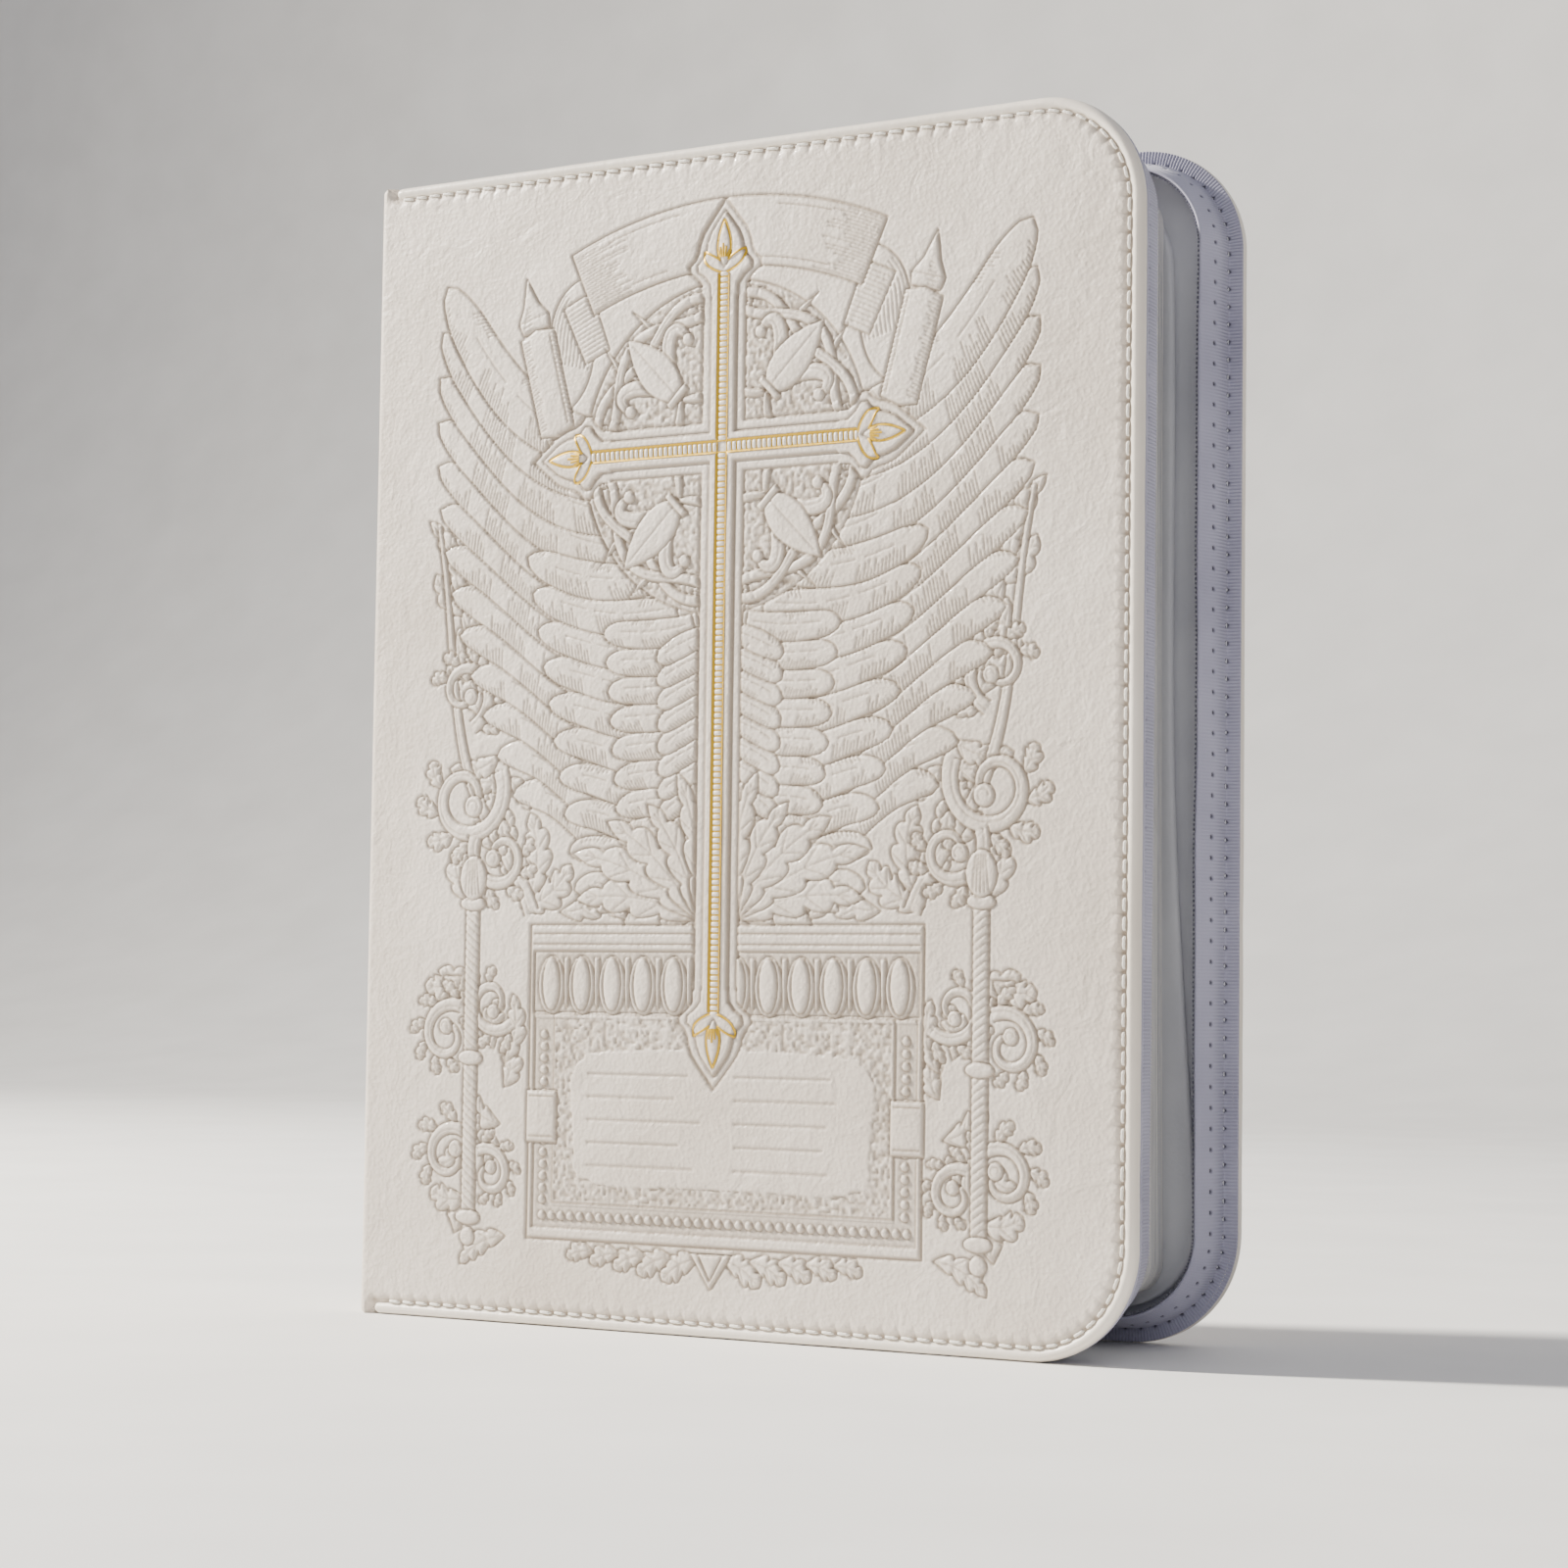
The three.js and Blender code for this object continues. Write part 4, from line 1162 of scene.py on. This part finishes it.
def soft_book_cover(label):
    """The limp leather cover of the book itself, with a rolled edge and a sagging fore-edge."""
    side = SIDES[label]
    z0, z1 = BOOK_Z
    corner, start = 20.0, 1.0
    us = np.concatenate([np.linspace(0, 0.96, 50, endpoint=False), np.linspace(0.96, 1, 12)])
    turn = np.sin(np.linspace(0, np.pi / 2, 22)) * corner / (z1 - z0)
    last = turn[-1]
    zs = np.concatenate([last - turn[::-1], np.linspace(last, 1 - last, 60)[1:-1], 1 - last + turn])
    ff, gg = np.meshgrid(us, zs, indexing="ij")
    zz = z0 + (z1 - z0) * gg
    down = (z1 - zz) / (z1 - z0)
    edge = 184 + 1.5 * down + 7 * down**3 + 0.5 * np.sin(9 * down) - corner + corner_reach(zz, z0, z1, corner)
    uu = start + (edge - start) * ff
    near = np.minimum(edge - uu, np.minimum(zz - z0, z1 - zz))
    thick = (0.48 + 0.2 * np.exp(-(((near - 1.6) / 1.3) ** 2))) * rounded(near, 0.8, 0.02)
    sway = 0.11 * smooth_noise(uu.shape, (3, 6), 41 + side) + 0.05 * smooth_noise(uu.shape, (8, 12), 43 + side)
    sway = sway * ff
    pts = [cover_point(side, uu, sway + half, zz, BOOK_AXIS, CLOSING * BOOK_RATIO) for half in (thick, -thick)]
    piece = make(f"{label}_soft_book_cover", pts, shell(*uu.shape, side), BOOK_SKIN, f"book_{label}")
    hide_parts(f"book_{label}_cover")


def page_stack(label, section):
    """One group of sections, as thin leaves with silvered edges that bend near the spine."""
    side = SIDES[label]
    leaves = 12
    half, gap, far, corner, fixed = 10.85, 0.3, 174.4, 8.0, 100
    pitch = (half + gap) / 3
    z0, z1 = BLOCK_Z
    tall = z1 - z0
    us = np.concatenate([np.linspace(0.05, 40, 12), np.linspace(60, far - 9, 6), np.linspace(far - 7.5, far, 6)])
    zs = np.concatenate([np.linspace(0, corner, 6), np.linspace(20, tall - 20, 8),
                         np.linspace(tall - corner, tall, 6)])
    grid, zz = np.meshgrid(us, zs, indexing="ij")
    thick = (pitch - gap) / leaves * 0.44
    verts, faces, flat = [], [], []
    for k in range(leaves):
        place = -section * pitch - (pitch - gap) * (k + 0.5) / leaves
        depth_in = -place / half
        shift = rng.uniform(-0.12, 0.12) - 1.6 * depth_in**2
        limit = far + shift - corner + corner_reach(zz, 0, tall, corner) + 1.6 * ((tall - zz) / tall) ** 2 - 1.0
        uu = np.where(grid > fixed, fixed + (grid - fixed) / (far - fixed) * (limit - fixed), grid)
        f = uu / far
        ripple = 0.1 * smooth_noise(uu.shape, (3, 5), 300 + section * 40 + k + (0 if side < 0 else 500)) * f**2
        w = place - 0.12 * depth_in * f**2 + ripple * min(1.0, 0.3 + 3 * depth_in, 0.3 + 3 * (1 - depth_in))
        verts += [cover_point(side, uu, w + lift, zz + z0, LEAF_AXIS, CLOSING * LEAF_RATIO)
                  for lift in (thick, -thick)]
        sheets = shell(*uu.shape, side, 2 * k * uu.size)
        faces += sheets
        flat.append(np.repeat([True, True, False], [len(part) for part in sheets]))
    flat = np.concatenate(flat)
    piece = make(f"{label}_leaves_{section + 1}", verts, faces, [PAPER, GILT])
    material_index(piece, ~flat)
    piece.data.polygons.foreach_set("use_smooth", flat)
    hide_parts(f"{label}_pages_{section + 1}")
    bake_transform(piece)


def foil_line(strokes, width):
    """Flat gold lines laid on the leather, following its relief."""
    verts, faces, base = [], [], 0
    for stroke in strokes:
        line = resampled(stroke, 0.8)
        n = normals(line)
        rows = []
        for lift, across in ((0.02, 0.5), (0.09, 0.2), (0.09, -0.2), (0.02, -0.5)):
            edge = line + n * width * across
            height = np.maximum(relief.at(*line.T), relief.at(*edge.T))
            rows.append(cover_point(-1, edge[:, 0], HALF + 0.12 + height + lift, edge[:, 1]))
        verts.append(np.stack(rows, axis=1).reshape(-1, 3))
        faces.append(grid_faces(len(line), 4, start=base))
        base += len(line) * 4
    return np.concatenate(verts), np.concatenate(faces)


def spine_layer(name, node, xs, half_y, ends, swell, material):
    """A soft layer inside the spine, rounded at its edges and gently uneven."""
    rows = half_y * np.sin(np.linspace(-1, 1, 48) * np.pi / 2)
    cols = ends[0] + (ends[1] - ends[0]) * (0.5 - 0.5 * np.cos(np.linspace(0, np.pi, 220)))
    yy, zz = np.meshgrid(rows, cols, indexing="ij")
    near = np.minimum(half_y - np.abs(yy), np.minimum(zz - ends[0], ends[1] - zz))
    half = (xs[1] - xs[0]) / 2 * rounded(near, 0.6, 0.02)
    rise = swell * place_noise(yy, zz, 7, 16, 71) * np.clip(near / 4, 0, 1)
    middle = (xs[0] + xs[1]) / 2
    pts = [spine_point(middle - half + 0.4 * rise, yy, zz), spine_point(middle + half + rise, yy, zz)]
    piece = make(name, pts, shell(*yy.shape, -1), material, "spine")
    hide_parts(node)
    return piece


def page_folds():
    """The folded backs of the sewn sections, each rounded at its fold."""
    count, half_y, back = 18, 11.0, 12.15
    z0, z1 = BLOCK_Z
    pitch = 2 * half_y / count
    thick = pitch / 2 - 0.05
    bend = np.radians(np.linspace(-90, 90, 9))
    verts, faces = [], []
    for k in range(count):
        fold = 4.25 + rng.uniform(0, 0.3) + 1.1
        low, high = z0 + rng.uniform(0, 0.25), z1 - rng.uniform(0, 0.25)
        x = np.concatenate([[back], fold - 1.1 * np.cos(bend), [back]])
        across = thick * np.concatenate([[-1], np.sin(bend), [1]])
        middle = -half_y + pitch * (k + 0.5)
        rounds = ((0, low), (0.92, low), (1, low + 0.1), (1, high - 0.1), (0.92, high), (0, high))
        verts += [spine_point(x, middle + share * across, z) for share, z in rounds]
        faces.append(grid_faces(6, 11, wrap_cols=True, start=66 * k))
    piece = make("page_folds", verts, faces, [PAPER, GILT], "spine", False)
    material_index(piece, np.tile(np.repeat([1, 1, 0, 1, 1], 11), count))
    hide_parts("sewn_page_folds")


def silk_band(name, node, z):
    """A rolled silk band, wound round with thread."""
    end = 10.7
    yy, aa = np.meshgrid(np.linspace(-end, end, 260), ring_angles(14), indexing="ij")
    radius = 0.86 + 0.13 * np.abs(np.cos(np.pi * (yy / 0.85 + aa / (2 * np.pi)))) ** 0.6
    radius *= rounded(end - np.abs(yy), 0.7)
    pts = spine_point(5.2 + radius * np.cos(aa), yy, z + radius * np.sin(aa))
    piece = make(name, pts, grid_faces(*yy.shape, wrap_cols=True), SILK, "spine")
    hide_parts(node)


def zip_end(name, node, z, up):
    """The closed end of the zip at the spine: two ribbed tapes and the teeth that join them."""
    x0, x1, y0, y1 = 2.3, 16.3, 1.2, 9.0
    yy, xx = np.meshgrid(np.linspace(y0, y1, 30), np.arange(x0, x1 + 0.05, RIB / 4), indexing="ij")
    rib = 0.12 * np.sin(2 * np.pi * xx / RIB) + 0.03 * np.sin(2 * np.pi * yy / THREAD_PITCH)
    near = np.minimum(np.minimum(xx - x0, x1 - xx), np.minimum(yy - y0, y1 - yy))
    half = 0.32 * np.sqrt(np.clip(near / 0.3, 0.05, 1))
    verts, faces = [], []
    for k, side in enumerate((-1, 1)):
        verts += [spine_point(xx, side * yy, z + up * (half + rib * np.clip(near / 0.6, 0, 1))),
                  spine_point(xx, side * yy, z - up * half)]
        faces += shell(*xx.shape, -side * up, 2 * k * xx.size)
    tape = make(name, verts, faces, TAPE, "spine")
    point_values(tape, "hole", np.zeros(len(tape.data.vertices)))
    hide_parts(node)
    verts, faces = [], []
    for k, x in enumerate(np.arange(2.9, 15.9, 0.7)):
        shift = 0.45 if k % 2 else -0.45
        yy, aa = np.meshgrid(shift + 1.35 * np.linspace(-1, 1, 9), ring_angles(8), indexing="ij")
        size = np.sqrt(np.clip(1 - ((yy - shift) / 1.36) ** 4, 0, 1))
        verts.append(spine_point(x + 0.33 * size * np.cos(aa), yy, z + 0.62 * size * np.sin(aa)))
        faces.append(grid_faces(9, 8, wrap_cols=True, start=72 * k))
    make(name + "_teeth", verts, faces, COIL, "spine")
    return tape


def gold_cross():
    """Gold lines each side of the beads, between them, and about the bud ends."""
    thin, rungs, beads = [], [], []
    side, stop, pitch = 1.3, -3.4, 1.34
    for end, way, length in ARMS:
        at = arm_frame(end, way)
        start = -length + side
        thin += [at([start, stop], np.full(2, side * sign)) for sign in (1, -1)]
        for a in np.arange(start, stop, pitch):
            rungs.append(at(np.full(2, a), [-side, side]))
            beads.append((at(a + pitch / 2, 0.0), way))
        thin += [bud_petal(at, sign) for sign in (1, -1)]
        thin += [bezier([at(2.0, 5.5 * sign), at(0.8, 2.6 * sign), at(-0.4, sign)], 8) for sign in (1, -1)]
        thin += [at([0.2, 3.4 - abs(b)], [b * 0.6, b]) for b in (-1.6, -0.8, 0.0, 0.8, 1.6)]
        thin += [bud_core(at, sign)[3:] for sign in (1, -1)]
    lines, line_faces = foil_line(thin, 0.56)
    steps, step_faces = foil_line(rungs, 0.4)
    piece = make("gold_line_cross", [lines, steps], [line_faces, step_faces + len(lines)], GOLD,
                 "front_cover")
    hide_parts("front_cross_foil")
    verts, faces = [], []
    ring = np.array([(-1, -1), (0, -1.12), (1, -1), (1.12, 0), (1, 1), (0, 1.12), (-1, 1), (-1.12, 0)])
    for k, (centre, way) in enumerate(beads):
        at = arm_frame(centre, way)
        for scale, lift in ((1.0, 0.02), (0.82, 0.22), (0.45, 0.34), (0.0, 0.36)):
            flat = at(ring[:, 0] * scale * 0.46, ring[:, 1] * scale * 0.92)
            verts.append(cover_point(-1, flat[:, 0], HALF + lift, flat[:, 1]))
        faces.append(grid_faces(4, 8, wrap_cols=True, flip=True, start=32 * k))
    make("cross_beads", verts, faces, PIPING, "front_cover")


def build():
    closed = [zip_end("closed_zip_top", "zip_end_top", HEIGHT - CLOSED_IN, 1),
              zip_end("closed_zip_bottom", "zip_end_bottom", CLOSED_IN, -1)]
    for label in SIDES:
        panel = skin_panel(label)
        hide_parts(f"{label}_leather")
        hinge_skin(label)
        edge_piping(label)
        edge_stitches(label)
        tape = zip_tape(label)
        zip_teeth(label)
        ends = [tape_bridge(label, top) for top in (True, False)]
        if label == "back":
            ends += closed
        padded_lining(label)
        soft_book_cover(label)
        for section in range(3):
            page_stack(label, section)
    lining = spine_layer("spine_padded_lining", "spine_lining", (0.95, 2.0), 15.7, (1.35, HEIGHT - 1.35), 0.25,
                         LINING)
    spine_layer("book_spine_leather", "book_spine", (2.4, 3.6), 12.6, BOOK_Z, 0.12, BOOK_SKIN)
    page_folds()
    silk_band("rolled_head_band", "head_band", HEIGHT - BAND_IN)
    silk_band("rolled_tail_band", "tail_band", BAND_IN)
    gold_cross()


def finish_cad_nodes():
    """Gives the carried-over pieces their materials and soft edges."""
    looks = {"spine_board": (CARD, 0.1), "front_board": (CARD, 0.2), "back_board": (CARD, 0.2),
             "zip_slider": (CHROME, 0.3), "zip_pull": (CHROME, 0.35)}
    for name, (material, bevel) in looks.items():
        node = bpy.data.objects[name]
        if not node.material_slots:
            node.data.materials.append(material)
        for place in node.material_slots:
            place.material = material
        rounding = node.modifiers.new("rounding", "BEVEL")
        rounding.width = bevel * MM
        rounding.segments = 3
        rounding.limit_method = "ANGLE"


def stage_and_light():
    material, tree, bsdf = shader("floor_paint", (0.62, 0.6, 0.57), 0.7)
    color = ramp(tree, noise(tree, coordinates(tree), 14.0, 4.0), (0.80, 0.79, 0.77), (0.86, 0.85, 0.83))
    tree.links.new(color, bsdf.inputs["Base Color"])
    flat, radius, front, top = 1.4, 1.2, -3.0, 3.2
    bend = np.linspace(0, np.pi / 2, 24)
    y = np.concatenate([[front], flat + radius * np.sin(bend), [flat + radius]])
    z = np.concatenate([[0.0], radius - radius * np.cos(bend), [top]])
    rows = [np.stack(np.broadcast_arrays(x, y, z), axis=-1) for x in (-5.0, 3.5)]
    make("floor", rows, grid_faces(2, len(y), flip=True), material)

    def area(name, place, target, size, power, color):
        light = bpy.data.lights.new(name, "AREA")
        light.shape = "DISK"
        light.size = size
        light.energy = power
        light.color = color
        lamp = bpy.data.objects.new(name, light)
        bpy.context.collection.objects.link(lamp)
        lamp.location = place
        lamp.rotation_euler = (Vector(target) - Vector(place)).to_track_quat("-Z", "Y").to_euler()

    area("key", (-1.65, -0.50, 1.3), (0.0, -0.02, 0.13), 0.2, 168, (1.0, 0.95, 0.86))
    area("front_fill", (0.9, -1.9, 0.7), (0, 0, 0.13), 1.6, 7, (0.93, 0.94, 1.0))
    area("sky", (0.2, 0.4, 2.2), (0, 0, 0.1), 2.2, 9, (0.88, 0.9, 1.0))
    world = bpy.data.worlds.new("studio")
    world.use_nodes = True
    background = world.node_tree.nodes["Background"]
    background.inputs["Color"].default_value = (0.86, 0.87, 0.95, 1)
    background.inputs["Strength"].default_value = 0.36
    bpy.context.scene.world = world


def camera():
    azimuth, rise, roll = math.radians(29.383), math.radians(3.551), math.radians(0.779)
    forward = Vector((-math.sin(azimuth) * math.cos(rise), math.cos(azimuth) * math.cos(rise), math.sin(rise)))
    right = forward.cross(Vector((0, 0, 1))).normalized()
    up = right.cross(forward)
    tilted = right * math.cos(roll) + up * math.sin(roll)
    above = up * math.cos(roll) - right * math.sin(roll)
    made = bpy.data.cameras.new("camera")
    made.lens = 80.3
    made.sensor_width = 36
    holder = bpy.data.objects.new("camera", made)
    bpy.context.collection.objects.link(holder)
    turn = Matrix((tilted, above, -forward)).transposed().to_4x4()
    holder.matrix_world = Matrix.Translation((0.39501, -0.70047, 0.07519)) @ turn
    bpy.context.scene.camera = holder


camera()
build()
finish_cad_nodes()
stage_and_light()
